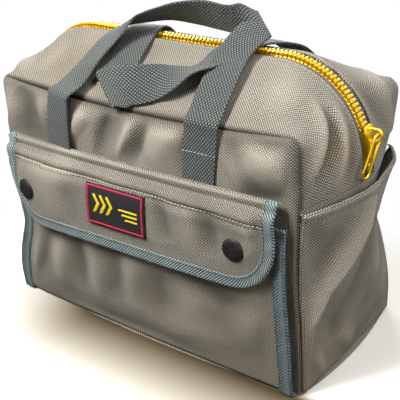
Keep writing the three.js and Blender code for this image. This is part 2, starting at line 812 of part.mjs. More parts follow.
// The tape round the flap: down the left edge, round the corners and up the right edge.
function flapBinding() {
  const radius = flapCornerRadius - tapeWidth / 2;
  const half = flapHalfWidth - tapeWidth / 2;
  const low = flapBottom + tapeWidth / 2;
  const top = hingeHeight - bindingTopGap;
  const straight = top - low - radius;
  const arc = radius * quarterTurn;
  const run = 2 * (half - radius);
  const total = 2 * straight + 2 * arc + run;
  const track = (along) => {
    const back = along > total / 2;
    const d = back ? total - along : along;
    const side = back ? 1 : -1;
    if (d <= straight) {
      return [side * half, top - d, side, 0];
    }
    if (d <= straight + arc) {
      const turn = (d - straight) / radius;
      const outX = side * Math.cos(turn);
      const outZ = -Math.sin(turn);
      return [side * (half - radius) + radius * outX, low + radius + radius * outZ, outX, outZ];
    }
    return [side * (half - radius - (d - straight - arc)), low, 0, -1];
  };
  const surface = (u, v) => {
    const [x, z, outX, outZ] = track(clamp01(u) * total);
    const reach = mix(-tapeWidth / 2, tapeWidth / 2, v);
    const px = x + outX * reach;
    const pz = z + outZ * reach;
    return onFront(px, pz, flapStand(px, pz) + (tapeThickness - canvas) / 2);
  };
  return sheet(surface, 36, 1, tapeThickness, toRear);
}

function flapHeading() {
  const surface = (u, v) => {
    const x = mix(-flapHalfWidth, flapHalfWidth, u);
    const z = mix(hingeHeight + clearance, headingTop, v);
    return onFront(x, z, flapStand(x, z));
  };
  return sheet(surface, 14, 3, canvas, toRear);
}

function labelPatch() {
  const surface = (u, v) => {
    const x = labelX + mix(-labelWidth / 2, labelWidth / 2, u);
    const z = labelZ + mix(-labelHeight / 2, labelHeight / 2, v);
    return onFront(x, z, flapStand(x, z) + labelLift + labelThickness);
  };
  return sheet(surface, 6, 6, labelThickness, toRear);
}

// End pockets: an open-topped sheet that stands off the end, with a thick hem at its mouth.
function endStand(u, z) {
  const across = Math.sin(Math.PI * clamp01(u)) ** 0.7;
  const up = mix(endFloorShare, 1, Math.sin((Math.PI / 2) * clamp01(z / (0.6 * endMouth))));
  return endEdge + endPocketSwell * across * up;
}

function endPoint(side, u, z, stand) {
  const s = z / bendZ;
  const point = gussetPoint(side < 0 ? s : 6 - s, u);
  point.x += side * stand;
  return point;
}

function endPocket(side) {
  const surface = (u, v) => {
    const z = mix(floorLevel, endMouth - hemHeight, v);
    return endPoint(side, u, z, endStand(u, z));
  };
  return sheet(surface, 10, 7, canvas, side < 0 ? toRight : toLeft);
}

function endHem(side) {
  const surface = (u, v) => {
    const z = mix(endMouth - hemHeight + clearance, endMouth, v);
    return endPoint(side, u, z, endStand(u, z) + hemProud);
  };
  return sheet(surface, 12, 1, canvas + 2 * hemProud, side < 0 ? toRight : toLeft);
}

function rearPocket() {
  const half = pocketHalfWidth - tapeWidth - 2 * clearance;
  const surface = (u, v) => {
    const z = mix(floorLevel, rearMouth, v);
    const x = mix(-1, 1, u) * (half + rearShift(z));
    return onRear(x, z, rearPocketStand(x, z));
  };
  return sheet(surface, 12, 7, canvas, toFront);
}

// Handles: the sewn legs lie on the panels, and each loop turns on the top seam.
function handleLeg(side, stand, lean, place, inward) {
  const top = handleHingeHeight - legTopGap;
  const surface = (u, v) => {
    const z = mix(legBottom, top, v);
    const middle = side * handleSpread - lean * (1 - v);
    const x = middle + mix(-webbingWidth / 2, webbingWidth / 2, u);
    return place(x, z, stand(x, z) + clearance + webbingThickness);
  };
  return sheet(surface, 4, 7, webbingThickness, inward);
}

// A place on a loop's middle line, as shares of the handles' spread, depth and rise,
// with the direction across the webbing there.
function station(x, y, z, acrossX, acrossY, acrossZ, stretch = 1) {
  const half = new THREE.Vector3(acrossX, acrossY, acrossZ).setLength((stretch * webbingWidth) / 2);
  const height = handleHingeHeight + z * loopRise;
  return [new THREE.Vector3(x * handleSpread, y * handleHingeDepth, height), half];
}

// The front loop leans back over the top: its left leg twists into the crossbar,
// and the right leg is folded over the crossbar's end.
function frontHandle() {
  const bar = [
    station(-1, -1, 0, 1, 0, 0),
    station(-0.933, -0.902, 0.108, 0.99, -0.1, 0.1),
    station(-0.858, -0.649, 0.367, 0.95, -0.17, 0.25),
    station(-0.746, -0.369, 0.667, 0.94, -0.17, 0.27),
    station(-0.612, -0.227, 0.857, 0.866, -0.28, 0.415),
    station(-0.463, -0.152, 0.931, 0.5, -0.6, 0.62),
    station(-0.248, -0.071, 0.965, 0.1, -0.82, 0.55),
    station(0.03, 0.021, 0.998, 0, -0.68, 0.73),
    station(0.328, 0.078, 0.99, 0, -0.5, 0.87),
    station(0.687, 0.045, 0.998, 0, -0.45, 0.89),
    station(1.06, 0.057, 0.975, -0.75, 0.53, 0.4),
  ];
  const leg = [
    station(1, -1, 0, 1, 0, 0),
    station(0.985, -0.881, 0.118, 1, 0, 0),
    station(0.963, -0.682, 0.343, 1, 0, 0),
    station(0.933, -0.483, 0.529, 1, 0, 0),
    station(0.91, -0.298, 0.663, 1, -0.1, -0.07),
    station(0.955, -0.114, 0.827, 0.93, -0.25, -0.2),
    station(1.06, 0.057, 0.975, 0.75, -0.53, -0.4),
  ];
  return joined([ribbon(bar, 3), ribbon(leg, 3)]);
}

// The rear loop lies forward over the top, under the front one: its left leg is folded
// at the front seam, and the crossbar turns back into the right leg.
function rearHandle() {
  const leg = [
    station(-1, 1, 0, 1, 0, 0),
    station(-0.97, 0.866, 0.127, 1, 0, 0),
    station(-0.896, 0.625, 0.343, 0.98, 0.15, -0.05),
    station(-0.701, 0.256, 0.608, 0.9, 0.4, -0.1),
    station(-0.567, 0.014, 0.696, 0.97, 0.25, 0),
    station(-0.515, -0.199, 0.618, 1, 0.1, 0),
    station(-0.47, -0.398, 0.49, 1, 0, 0),
    station(-0.448, -0.611, 0.31, 0.96, -0.2, -0.15),
    station(-0.433, -0.859, 0.108, 0.838, -0.476, -0.267, creaseStretch),
  ];
  const bar = [
    station(-0.433, -0.874, 0.127, -0.838, 0.476, 0.267, creaseStretch),
    station(-0.104, -0.774, 0.206, -0.1, 0.83, 0.56),
    station(0.179, -0.717, 0.265, 0, 0.83, 0.56),
    station(0.388, -0.646, 0.333, -0.2, 0.8, 0.5),
    station(0.552, -0.526, 0.39, -0.55, 0.75, 0.4),
    station(0.716, -0.312, 0.551, -0.85, 0.5, 0.27),
    station(0.836, -0.043, 0.688, -0.97, 0.2, 0),
    station(0.925, 0.256, 0.641, -1, 0.1, 0),
    station(0.985, 0.597, 0.461, -1, 0, 0),
    station(1, 0.852, 0.186, -1, 0, 0),
    station(1, 1, 0, -1, 0, 0),
  ];
  return joined([ribbon(leg, 3), ribbon(bar, 3)]);
}

add("bottom_panel", "canvas", slab(baseOutline(), canvas, 0));
add("bottom_board", "board", slab(boardOutline(), boardThickness, floorLevel));
add("front_panel", "canvas", panel(frontStand, onFront, toRear, false));
add("rear_panel", "canvas", panel(rearStand, onRear, toFront, true));
add("zip_gusset_front", "canvas", zipGusset(true));
add("zip_gusset_rear", "canvas", zipGusset(false));
for (const [side, word] of [[-1, "left"], [1, "right"]]) {
  add("end_panel_" + word, "canvas", endPanel(side));
  add("end_pocket_" + word, "canvas", endPocket(side));
  add("end_pocket_hem_" + word, "canvas", endHem(side));
}
for (const [side, word] of [[-1, "front"], [1, "rear"]]) {
  add("zip_tape_" + word, "zipTape", zipTape(side));
  add("zip_teeth_" + word, "brass", zipTeeth(side));
}
const stopFrom = teethRun + clearance;
const stopTo = stopFrom + stopLength;
const stopReach = rowGap / 2 + toothRowWidth;
for (const [side, word] of [[-1, "front"], [1, "rear"]]) {
  const stop = alongZip(stopFrom, stopTo, (side * rowGap) / 2, side * stopReach, toothTop, toothThickness, 2);
  add("zip_top_stop_" + word, "brass", stop);
}
const bottomStop = alongZip(-stopTo, -stopFrom, -stopReach, stopReach, toothTop, toothThickness, 2);
add("zip_bottom_stop", "brass", bottomStop);
add("zip_slider", "brass", zipSlider());
add("zip_slider_bail", "brass", zipBail());
add("zip_pull", "brass", zipPull());
add("front_pocket", "canvas", frontPocket());
add("rear_pocket", "canvas", rearPocket());
add("flap_heading", "canvas", flapHeading());
add("front_flap", "canvas", frontFlap());
add("flap_binding", "tape", flapBinding());
add("label_patch", "label", labelPatch());
for (const [side, word] of [[-1, "left"], [1, "right"]]) {
  const frontTape = pocketTape(side, pocketStand, frontShift, onFront, pocketMouth, toRear);
  add("front_pocket_tape_" + word, "tape", frontTape);
  const rearTape = pocketTape(side, rearPocketStand, rearShift, onRear, rearMouth, toFront);
  add("rear_pocket_tape_" + word, "tape", rearTape);
  add("snap_cap_" + word, "snap", snapCap(side));
  add("snap_socket_" + word, "brass", snapSocket(side));
  add("snap_stud_" + word, "brass", snapStud(side));
  add("snap_post_" + word, "brass", snapPost(side));
  add("front_handle_leg_" + word, "webbing", handleLeg(side, frontStand, legLean, onFront, toRear));
  add("rear_handle_leg_" + word, "webbing", handleLeg(side, rearStand, 0, onRear, toFront));
}
add("front_handle", "webbing", frontHandle());
add("rear_handle", "webbing", rearHandle());

export default bag;
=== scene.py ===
import math

import bmesh
import bpy
import numpy as np
from mathutils import Matrix, Vector


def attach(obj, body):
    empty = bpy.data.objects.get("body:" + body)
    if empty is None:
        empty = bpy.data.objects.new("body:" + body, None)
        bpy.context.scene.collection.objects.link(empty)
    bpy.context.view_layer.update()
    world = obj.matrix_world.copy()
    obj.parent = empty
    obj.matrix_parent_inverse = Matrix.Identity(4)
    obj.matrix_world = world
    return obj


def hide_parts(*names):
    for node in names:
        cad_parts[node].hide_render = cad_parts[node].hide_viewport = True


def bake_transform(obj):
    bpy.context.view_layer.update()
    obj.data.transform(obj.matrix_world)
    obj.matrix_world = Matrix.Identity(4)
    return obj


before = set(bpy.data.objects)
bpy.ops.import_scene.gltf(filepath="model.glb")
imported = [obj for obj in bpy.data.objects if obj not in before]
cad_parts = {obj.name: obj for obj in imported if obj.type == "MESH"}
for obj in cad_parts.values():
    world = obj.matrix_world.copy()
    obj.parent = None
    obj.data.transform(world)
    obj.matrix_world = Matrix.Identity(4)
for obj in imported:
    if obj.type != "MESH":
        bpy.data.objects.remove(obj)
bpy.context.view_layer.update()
print("frame loaded")

# All sizes are millimetres unless a name says otherwise.
mm = 0.001

# The sewn shell, as the solids have it.
shell = {
    "halfLength": 141.0, "halfDepth": 68.0, "seamHeight": 203.0, "crownHeight": 233.0,
    "canvas": 1.2, "gap": 0.3, "cornerRadius": 9.0, "topSpread": 1.5, "seamSag": 6.0,
    "panelSwell": 4.0, "leftSwell": 6.0, "endSwell": 15.0, "bendRadius": 66.0,
    "crownSharpness": 1.3, "rearWaist": 13.0, "waistHeight": 104.0, "waistReach": 84.0,
    "leftFlare": 9.0, "flareTop": 120.0, "zipOpening": 18.0, "zipFlat": 17.0, "zipEndDrop": 14.0,
}
halfLength = shell["halfLength"]
halfDepth = shell["halfDepth"]
seamHeight = shell["seamHeight"]
crownHeight = shell["crownHeight"]
canvasThickness = shell["canvas"]
gap = shell["gap"]
floorLevel = canvasThickness + gap
gussetHalf = halfDepth - canvasThickness - gap
bendRadius = shell["bendRadius"]
panelHalfTop = halfLength + shell["topSpread"]
zipHalf = halfLength + shell["endSwell"]
bendX = zipHalf - bendRadius
bendZ = crownHeight - bendRadius
quarter = math.pi / 2
zipRun = bendX + bendRadius * quarter + shell["zipEndDrop"]
zipFoot = 1 - shell["zipEndDrop"] / bendZ


def mix(a, b, t):
    return a + (b - a) * t


def smooth(t):
    c = np.clip(t, 0, 1)
    return c * c * (3 - 2 * c)


def unit(v):
    return v / np.maximum(np.linalg.norm(v, axis=-1, keepdims=True), 1e-9)


def endReach(topReach, z):
    return halfLength + (topReach - halfLength) * np.sin(quarter * np.clip(z / bendZ, 0, 1))


def waist(z):
    t = np.minimum(1, np.abs(z - shell["waistHeight"]) / shell["waistReach"])
    return shell["rearWaist"] * np.cos(quarter * t) ** 2


def cornerReach(side, rear, z):
    reach = endReach(panelHalfTop, z)
    flare = shell["leftFlare"] * (1 - smooth(z / shell["flareTop"]))
    return np.where(rear, reach - waist(z), np.where(np.asarray(side) < 0, reach + flare, reach))


# A seam line beside the front or rear panel: 0 at the floor, 1 at the zip's bend, 2 on top, 3 in the middle.
def seamLine(s, side, rear):
    radius = shell["cornerRadius"]
    straight = seamHeight - radius - bendZ
    arc = radius * quarter
    cornerX = panelHalfTop - radius
    along = np.clip(s - 1, 0, 1) * (straight + arc + cornerX - bendX)
    turn = (along - straight) / radius
    topX = np.where(s <= 2, cornerX - (along - straight - arc), bendX * (3 - s))
    topZ = seamHeight - shell["seamSag"] * (1 - (topX / cornerX) ** 2)
    parts = [s <= 1, (s <= 2) & (along <= straight), (s <= 2) & (along <= straight + arc)]
    low = cornerReach(side, rear, s * bendZ)
    x = np.select(parts, [low, panelHalfTop, cornerX + radius * np.cos(turn)], topX)
    z = np.select(parts, [s * bendZ, bendZ + along, seamHeight - radius * (1 - np.sin(turn))], topZ)
    return x, z


def zipLine(s):
    turn = (np.clip(s, 1, 2) - 1) * quarter
    parts = [s <= 1, s <= 2]
    x = np.select(parts, [endReach(zipHalf, s * bendZ), bendX + bendRadius * np.cos(turn)], bendX * (3 - s))
    z = np.select(parts, [s * bendZ, bendZ + bendRadius * np.sin(turn)], crownHeight)
    return x, z


# The canvas over the ends and the top: s 0 to 6 from the left foot to the right one, w 0 front to 1 rear.
def gussetPoint(s, w):
    half = np.where(s <= 3, s, 6 - s)
    side = np.where(s <= 3, -1, 1)
    seamX, seamZ = seamLine(half, side, w > 0.5)
    lineX, lineZ = zipLine(half)
    y = mix(-gussetHalf, gussetHalf, w)
    past = np.maximum(0, np.abs(y) - shell["zipFlat"] / 2) / (gussetHalf - shell["zipFlat"] / 2)
    share = 1 - past ** shell["crownSharpness"]
    return np.stack([side * mix(seamX, lineX, share), y, mix(seamZ, lineZ, share)], -1)


def wAt(y):
    return 0.5 + y / (2 * gussetHalf)


def panelRise(z):
    return np.sin(math.pi * np.clip(z / seamHeight, 0, 1)) ** 0.6


def frontStand(x, z):
    u = x / cornerReach(np.sign(x), False, z)
    lean = 0.5 * (1 - u) * np.maximum(0, 1 - np.abs(u) ** 8)
    return panelRise(z) * (shell["panelSwell"] * np.maximum(0, 1 - u * u) + shell["leftSwell"] * lean)


def rearStand(x, z):
    u = x / halfLength
    return panelRise(z) * shell["panelSwell"] * np.maximum(0, 1 - u * u)


def onFront(x, z, stand):
    return np.stack([x, -halfDepth - stand, z + 0 * x], -1)


def onRear(x, z, stand):
    return np.stack([x, halfDepth + stand, z + 0 * x], -1)


# Cloth

# Folds and dents: each is its points, its width on the left and on the right, and its height out of the cloth.
def foldField(a, b, folds):
    total = np.zeros(a.shape)
    for points, widthLeft, widthRight, height in folds:
        pts = np.array(points, float)
        lengths = np.linalg.norm(np.diff(pts, axis=0), axis=1)
        starts = np.concatenate([[0], np.cumsum(lengths)])
        best = np.full(a.shape, 1e9)
        signed = np.zeros(a.shape)
        place = np.zeros(a.shape)
        for i, length in enumerate(lengths):
            dx, dz = (pts[i + 1] - pts[i]) / length
            rx, rz = a - pts[i][0], b - pts[i][1]
            t = np.clip(rx * dx + rz * dz, 0, length)
            ex, ez = rx - t * dx, rz - t * dz
            dist = np.hypot(ex, ez)
            closer = dist < best
            best = np.where(closer, dist, best)
            signed = np.where(closer, dx * rz - dz * rx, signed)
            place = np.where(closer, (starts[i] + t) / starts[-1], place)
        width = np.where(signed > 0, widthLeft, widthRight)
        # each fold fades out towards its ends
        fade = np.clip(np.sin(math.pi * np.clip(place, 0.02, 0.98)), 0, 1) ** 0.7
        total += height * np.exp(-((best / width) ** 2)) * fade
    return total


# Soft unevenness of hand-sewn cloth, the same on each run.
def softWaves(a, b, seed, size, amount, count=8):
    rng = np.random.default_rng(seed)
    total = np.zeros(a.shape)
    for _ in range(count):
        angle, phase = rng.uniform(0, math.pi), rng.uniform(0, 2 * math.pi)
        wave = size * rng.uniform(0.6, 1.7)
        total += np.sin((a * math.cos(angle) + b * math.sin(angle)) * 2 * math.pi / wave + phase)
    return amount * total / math.sqrt(count)


# A seam allowance turned in: the cloth drops by this much towards its sewn edge.
def rollIn(distance, radius):
    e = np.clip(radius - distance, 0, radius)
    return -(radius - np.sqrt(np.maximum(0, radius * radius - e * e)))


# A raised line at some distance from an edge, or a sunken one where the height is negative.
def ridge(distance, middle, width, height):
    return height * np.exp(-(((distance - middle) / width) ** 2))


def gridNormals(points, outward):
    normals = unit(np.cross(np.gradient(points, axis=0), np.gradient(points, axis=1)))
    middle = normals[points.shape[0] // 2, points.shape[1] // 2]
    return normals * (1 if middle @ np.array(outward, float) >= 0 else -1)


def edgeDistances(points):
    du = np.linalg.norm(np.diff(points, axis=0), axis=2)
    dv = np.linalg.norm(np.diff(points, axis=1), axis=2)
    u = np.concatenate([np.zeros((1, points.shape[1])), np.cumsum(du, 0)])
    v = np.concatenate([np.zeros((points.shape[0], 1)), np.cumsum(dv, 1)], 1)
    return {"start": u, "end": u[-1:] - u, "low": v, "high": v[:, -1:] - v}


def clothUv(points, even=False):
    edges = edgeDistances(points)
    u = edges["start"] - edges["start"][points.shape[0] // 2]
    if even:
        u = u.mean(axis=1, keepdims=True) + 0 * u
    v = edges["low"] - edges["low"][:, points.shape[1] // 2: points.shape[1] // 2 + 1]
    return np.stack([u, v], -1) * mm


def linkObject(name, data):
    obj = bpy.data.objects.new(name, data)
    bpy.context.scene.collection.objects.link(obj)
    return obj


def finishMesh(name, points, faces, uv, material, sharp=50):
    mesh = bpy.data.meshes.new(name)
    mesh.from_pydata((np.asarray(points) * mm).tolist(), [], [list(map(int, f)) for f in faces])
    layer = mesh.uv_layers.new(name="cloth")
    index = np.zeros(len(mesh.loops), int)
    mesh.loops.foreach_get("vertex_index", index)
    layer.data.foreach_set("uv", np.asarray(uv)[index].astype(np.float32).ravel())
    mesh.shade_smooth()
    mesh.set_sharp_from_angle(angle=math.radians(sharp))
    mesh.materials.append(material)
    return linkObject(name, mesh)


# Faces of a tube of rings with as many points each, closed at its ends or run into itself.
def tubeFaces(rings, sides, closed=False):
    faces = []
    for i in range(rings if closed else rings - 1):
        n = (i + 1) % rings
        for k in range(sides):
            m = (k + 1) % sides
            faces.append((i * sides + k, i * sides + m, n * sides + m, n * sides + k))
    if not closed:
        faces.append(tuple(range(sides))[::-1])
        faces.append(tuple((rings - 1) * sides + k for k in range(sides)))
    return faces


def turnFacesOut(obj):
    bm = bmesh.new()
    bm.from_mesh(obj.data)
    bmesh.ops.recalc_face_normals(bm, faces=bm.faces[:])
    bm.to_mesh(obj.data)
    bm.free()
    return obj


# A closed sheet of cloth between an outer grid of points and the inner one under it.
def gridSheet(name, outer, inner, outward, material, uv):
    nu, nv = outer.shape[0] - 1, outer.shape[1] - 1
    index = np.arange((nu + 1) * (nv + 1)).reshape(nu + 1, nv + 1)
    skin = np.stack([index[:-1, :-1], index[1:, :-1], index[1:, 1:], index[:-1, 1:]], -1).reshape(-1, 4)
    rim = np.concatenate([index[:-1, 0], index[-1, :-1], index[:0:-1, -1], index[0, :0:-1]])
    ahead = np.roll(rim, -1)
    sides = np.stack([ahead, rim, rim + index.size, ahead + index.size], -1)
    faces = np.concatenate([skin, skin[:, [0, 3, 2, 1]] + index.size, sides])
    plain = unit(np.cross(np.gradient(outer, axis=0), np.gradient(outer, axis=1)))
    if plain[nu // 2, nv // 2] @ np.array(outward, float) < 0:
        faces = faces[:, ::-1]
    uv = uv.reshape(-1, 2)
    points = np.concatenate([outer.reshape(-1, 3), inner.reshape(-1, 3)])
    return finishMesh(name, points, faces, np.concatenate([uv, uv]), material)


# Where the filled bag sags or stands out, all its layers together: middle, reach each way, move.
settleLook = [
    ((-146, -74, 78), (52, 60, 30), (9.0, 2.0, 0)),
    ((143, -70, 105), (26, 34, 48), (-3.5, 0, 0)),
    ((142, 70, 112), (40, 46, 24), (-6.5, -3.0, 0)),
    ((140, 66, 196), (30, 34, 20), (3.0, 1.5, 0)),
]


def settle(p):
    moved = p.copy()
    for middle, reach, move in settleLook:
        far = (((p - np.array(middle, float)) / np.array(reach, float)) ** 2).sum(-1)
        moved += np.exp(-far)[..., None] * np.array(move, float)
    return moved


sheets = {}
# The height in mm at which cloth is fully rubbed and given a painted highlight, or that deep fully grimy and
# painted as shaded, and how the inner side counts, darker with grime and painted shade.
wearAndShadingLook = {"fullHeight": 4.0, "inside": -0.5}


# Makes the sheet over surface(u, v), moved out by relief(points, edges), and keeps its grid for what is sewn
# on. A seam is its edges, how far its painted shade reaches in mm, and how dark it is at the edge. On a tape
# that turns a corner, even keeps the ribs across it from shearing.
def makeSheet(name, surface, steps, thickness, outward, material, relief=None, seam=None, even=False):
    u, v = np.meshgrid(*(np.linspace(0, 1, n + 1) for n in steps), indexing="ij")
    outer = surface(u, v)
    uv = clothUv(outer, even)
    edges = edgeDistances(outer)
    height = relief(outer, edges) if relief else np.zeros(outer.shape[:2])
    outer = settle(outer + gridNormals(outer, outward) * height[..., None])
    normals = gridNormals(outer, outward)
    obj = gridSheet(name, outer, outer - normals * thickness, outward, material, uv)
    # Raised cloth is painted lighter as lit and sunken cloth darker as shaded, with real rubbing and grime too.
    wearAndPaintedShading = np.clip(height / wearAndShadingLook["fullHeight"], -1, 1)
    if seam:
        names, reach, dark = seam
        # painted shade along the sewn edges, darkest at the edge
        wearAndPaintedShading = wearAndPaintedShading - ridge(np.min([edges[k] for k in names], axis=0), 0, reach, dark)
    wearAndPaintedShading = np.concatenate([wearAndPaintedShading.ravel(), np.minimum(wearAndPaintedShading.ravel(), wearAndShadingLook["inside"])])
    obj.data.attributes.new("wearAndPaintedShading", "FLOAT", "POINT").data.foreach_set("value", wearAndPaintedShading.astype(np.float32))
    sheets[name] = (outer, normals)
    return obj


# A row of places on a sheet, lifted off it.
def onSheet(name, u, v, lift=0.25):
    outer, normals = sheets[name]
    fu = np.clip(u, 0, 1) * (outer.shape[0] - 1)
    fv = np.clip(v, 0, 1) * (outer.shape[1] - 1)
    i = np.minimum(fu.astype(int), outer.shape[0] - 2)
    j = np.minimum(fv.astype(int), outer.shape[1] - 2)
    a, b = (fu - i)[..., None], (fv - j)[..., None]

    def blendOf(g):
        return mix(mix(g[i, j], g[i + 1, j], a), mix(g[i, j + 1], g[i + 1, j + 1], a), b)
    return blendOf(outer) + unit(blendOf(normals)) * lift


def fasten(obj, body, slot, *nodes):
    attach(obj, body)
    if nodes:
        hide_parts(*nodes)
    return obj


# Materials


def toLinear(hexColour):
    channels = [int(hexColour[i:i + 2], 16) / 255 for i in (1, 3, 5)]
    return [c / 12.92 if c <= 0.04045 else ((c + 0.055) / 1.055) ** 2.4 for c in channels] + [1.0]


# The property that a word after a node's kind sets.
nodeModes = {
    "Math": "operation", "VectorMath": "operation", "Mix": "data_type", "MapRange": "interpolation_type",
}


# Adds one node and gives its output: the first, the one that out names, or all of them when out is None. In a
# material the kind goes without its ShaderNode. Links, numbers and hex colours go to its inputs in order, or to
# the ones they are named for.
def addNode(tree, kind, *given, settings=None, out=0, **named):
    kind, _, mode = kind.partition(" ")
    node = tree.nodes.new(("ShaderNode" if tree.type == "SHADER" else "") + kind)
    if mode:
        setattr(node, nodeModes[kind], mode)
    for key, value in (settings or {}).items():
        setattr(node, key, value)
    pairs = list(zip([s for s in node.inputs if s.enabled], given))
    pairs += [(node.inputs[key.replace("_", " ")], value) for key, value in named.items()]
    for socket, value in pairs:
        if isinstance(value, bpy.types.NodeSocket):
            tree.links.new(value, socket)
        else:
            socket.default_value = toLinear(value) if isinstance(value, str) else value
    outputs = [s for s in node.outputs if s.enabled]
    if out is None or not outputs:
        return outputs
    return outputs[out] if isinstance(out, int) else node.outputs[out]


# The scale of a noise whose grains have this size in mm.
def grain(size):
    return 1 / (size * mm)


def startMaterial(name):
    material = bpy.data.materials.new(name)
    material.use_nodes = True
    tree = material.node_tree
    tree.nodes.clear()
    return material, tree


def finishMaterial(tree, **inputs):
    addNode(tree, "OutputMaterial", Surface=addNode(tree, "BsdfPrincipled", **inputs))


# The cloth's own map in metres: along it and across it.
def clothMap(tree):
    uv = addNode(tree, "UVMap", settings={"uv_map": "cloth"})
    return addNode(tree, "SeparateXYZ", uv, out=None)[:2]


# Over-and-under threads on the cloth's own map: the height of the weave, and which way each float lies.
def weaveHeight(tree, u, v, pitchU, pitchV):
    a = addNode(tree, "Math SINE", addNode(tree, "Math MULTIPLY", u, math.pi / (pitchU * mm)))
    b = addNode(tree, "Math SINE", addNode(tree, "Math MULTIPLY", v, math.pi / (pitchV * mm)))
    cell = addNode(tree, "Math MULTIPLY", a, b)
    height = addNode(tree, "Math POWER", addNode(tree, "Math ABSOLUTE", cell), 0.6)
    return height, addNode(tree, "Math GREATER_THAN", cell, 0.0)


# Cotton duck, a heavy plain weave of ply yarns: matt, with light yarn crowns and dark gaps.
# Its ridges are rubbed paler and get a painted highlight, and its hollows hold grime and painted shade. Its
# yarns are drawn coarse enough to show.
canvasLook = {
    "yarnPitch": 1.05, "crown": "#ddd5c4", "yarn": "#888173", "gap": "#12100c",
    "shade": "#6c6556", "warm": "#a5906a", "rubbedAndLit": "#d2c9b6", "grimeAndShade": "#2c2820",
    "roughness": 0.93, "sheen": 0.12, "bump": 0.7, "bumpDepth": 0.6,
    # how far the yarns waver, and the sizes of waver, slubs, shaded and warm patches
    "waver": 1.1, "waverSize": 3.846, "slubSize": 1.111, "shadeSize": 62.5, "warmSize": 111.1,
    "shadeShare": 0.42, "warmShare": 0.22, "rubbedAndLitShare": 0.75, "grimeAndShadeShare": 0.54,
    # painted golden reflections of the brass slider and pull beside the zip: place, reach, share
    "brassReflection": "#b98a2c", "brassReflections": [((147, -27, 183), 17, 0.5), ((150, -29, 162), 12, 0.35)],
}


def canvasMaterial(name, look):
    material, tree = startMaterial(name)
    u, v = clothMap(tree)
    place = addNode(tree, "TexCoord", out="Object")
    waver = addNode(tree, "TexNoise", Vector=place, Scale=grain(look["waverSize"]), Detail=2.0)
    shift = addNode(tree, "Math MULTIPLY", addNode(tree, "Math SUBTRACT", waver, 0.5), look["waver"] * mm)
    u, v = addNode(tree, "Math ADD", u, shift), addNode(tree, "Math ADD", v, shift)
    weave, over = weaveHeight(tree, u, v, look["yarnPitch"], look["yarnPitch"])
    yarn = addNode(tree, "Mix RGBA", over, look["yarn"], look["crown"])
    slub = addNode(tree, "TexNoise", Vector=place, Scale=grain(look["slubSize"]), Detail=2.0)
    height = addNode(tree, "Math MULTIPLY", weave, addNode(tree, "Math MULTIPLY_ADD", over, 0.25, 0.75))
    height = addNode(tree, "Math MULTIPLY", height, addNode(tree, "Math MULTIPLY_ADD", slub, 0.5, 0.75))
    colour = addNode(tree, "Mix RGBA", addNode(tree, "Math POWER", height, 1.25), look["gap"], yarn)
    size = grain(look["shadeSize"])
    broad = addNode(tree, "TexNoise", Vector=place, Scale=size, Detail=3.0, Roughness=0.55)
    share = addNode(tree, "MapRange", broad, 0.35, 0.7, 0.0, look["shadeShare"])
    colour = addNode(tree, "Mix RGBA", share, colour, look["shade"])
    warmth = addNode(tree, "TexNoise", Vector=place, Scale=grain(look["warmSize"]), Detail=2.0)
    share = addNode(tree, "MapRange", warmth, 0.5, 0.75, 0.0, look["warmShare"])
    colour = addNode(tree, "Mix RGBA", share, colour, look["warm"])
    # painted golden reflection of the brass, on the yarn crowns
    for middle, reach, most in look["brassReflections"]:
        away = addNode(tree, "VectorMath DISTANCE", place, [c * mm for c in middle])
        near = addNode(tree, "MapRange SMOOTHSTEP", away, 0.0, reach * mm, most, 0.0)
        near = addNode(tree, "Math MULTIPLY", near, height)
        colour = addNode(tree, "Mix RGBA", near, colour, look["brassReflection"])
    wearAndPaintedShading = addNode(tree, "Attribute", settings={"attribute_name": "wearAndPaintedShading"}, out="Fac")
    # Ridges: rubbed paler, and a painted highlight.
    rubAndHighlight = addNode(tree, "Math MULTIPLY", height, look["rubbedAndLitShare"])
    rubAndHighlight = addNode(tree, "Math MULTIPLY", addNode(tree, "Math MAXIMUM", wearAndPaintedShading, 0.0), rubAndHighlight)
    colour = addNode(tree, "Mix RGBA", rubAndHighlight, colour, look["rubbedAndLit"])
    # Hollows and seams: grime, and painted shade.
    grime = addNode(tree, "Math MAXIMUM", addNode(tree, "Math MULTIPLY", wearAndPaintedShading, -1.0), 0.0)
    grime = addNode(tree, "Math MULTIPLY", grime, look["grimeAndShadeShare"])
    colour = addNode(tree, "Mix RGBA", grime, colour, look["grimeAndShade"])
    relief = addNode(tree, "Bump", Height=height, Strength=look["bump"], Distance=look["bumpDepth"] * mm)
    finishMaterial(tree, Base_Color=colour, Roughness=look["roughness"], Normal=relief,
                   Sheen_Weight=look["sheen"], Sheen_Roughness=0.5, Specular_IOR_Level=0.2)
    return material


# Polypropylene webbing, about 29 mm wide: a coarse dull weave whose floats catch a little light.
webbingLook = {
    "pitchAlong": 1.65, "pitchAcross": 1.3, "float": "#989f99", "under": "#282e2c", "gap": "#050607",
    "fibreSize": 1.4286, "dullSize": 45.45, "dullShare": 0.35,
    "roughness": 0.66, "sheen": 0.08, "bump": 1.0, "bumpDepth": 0.8,
}


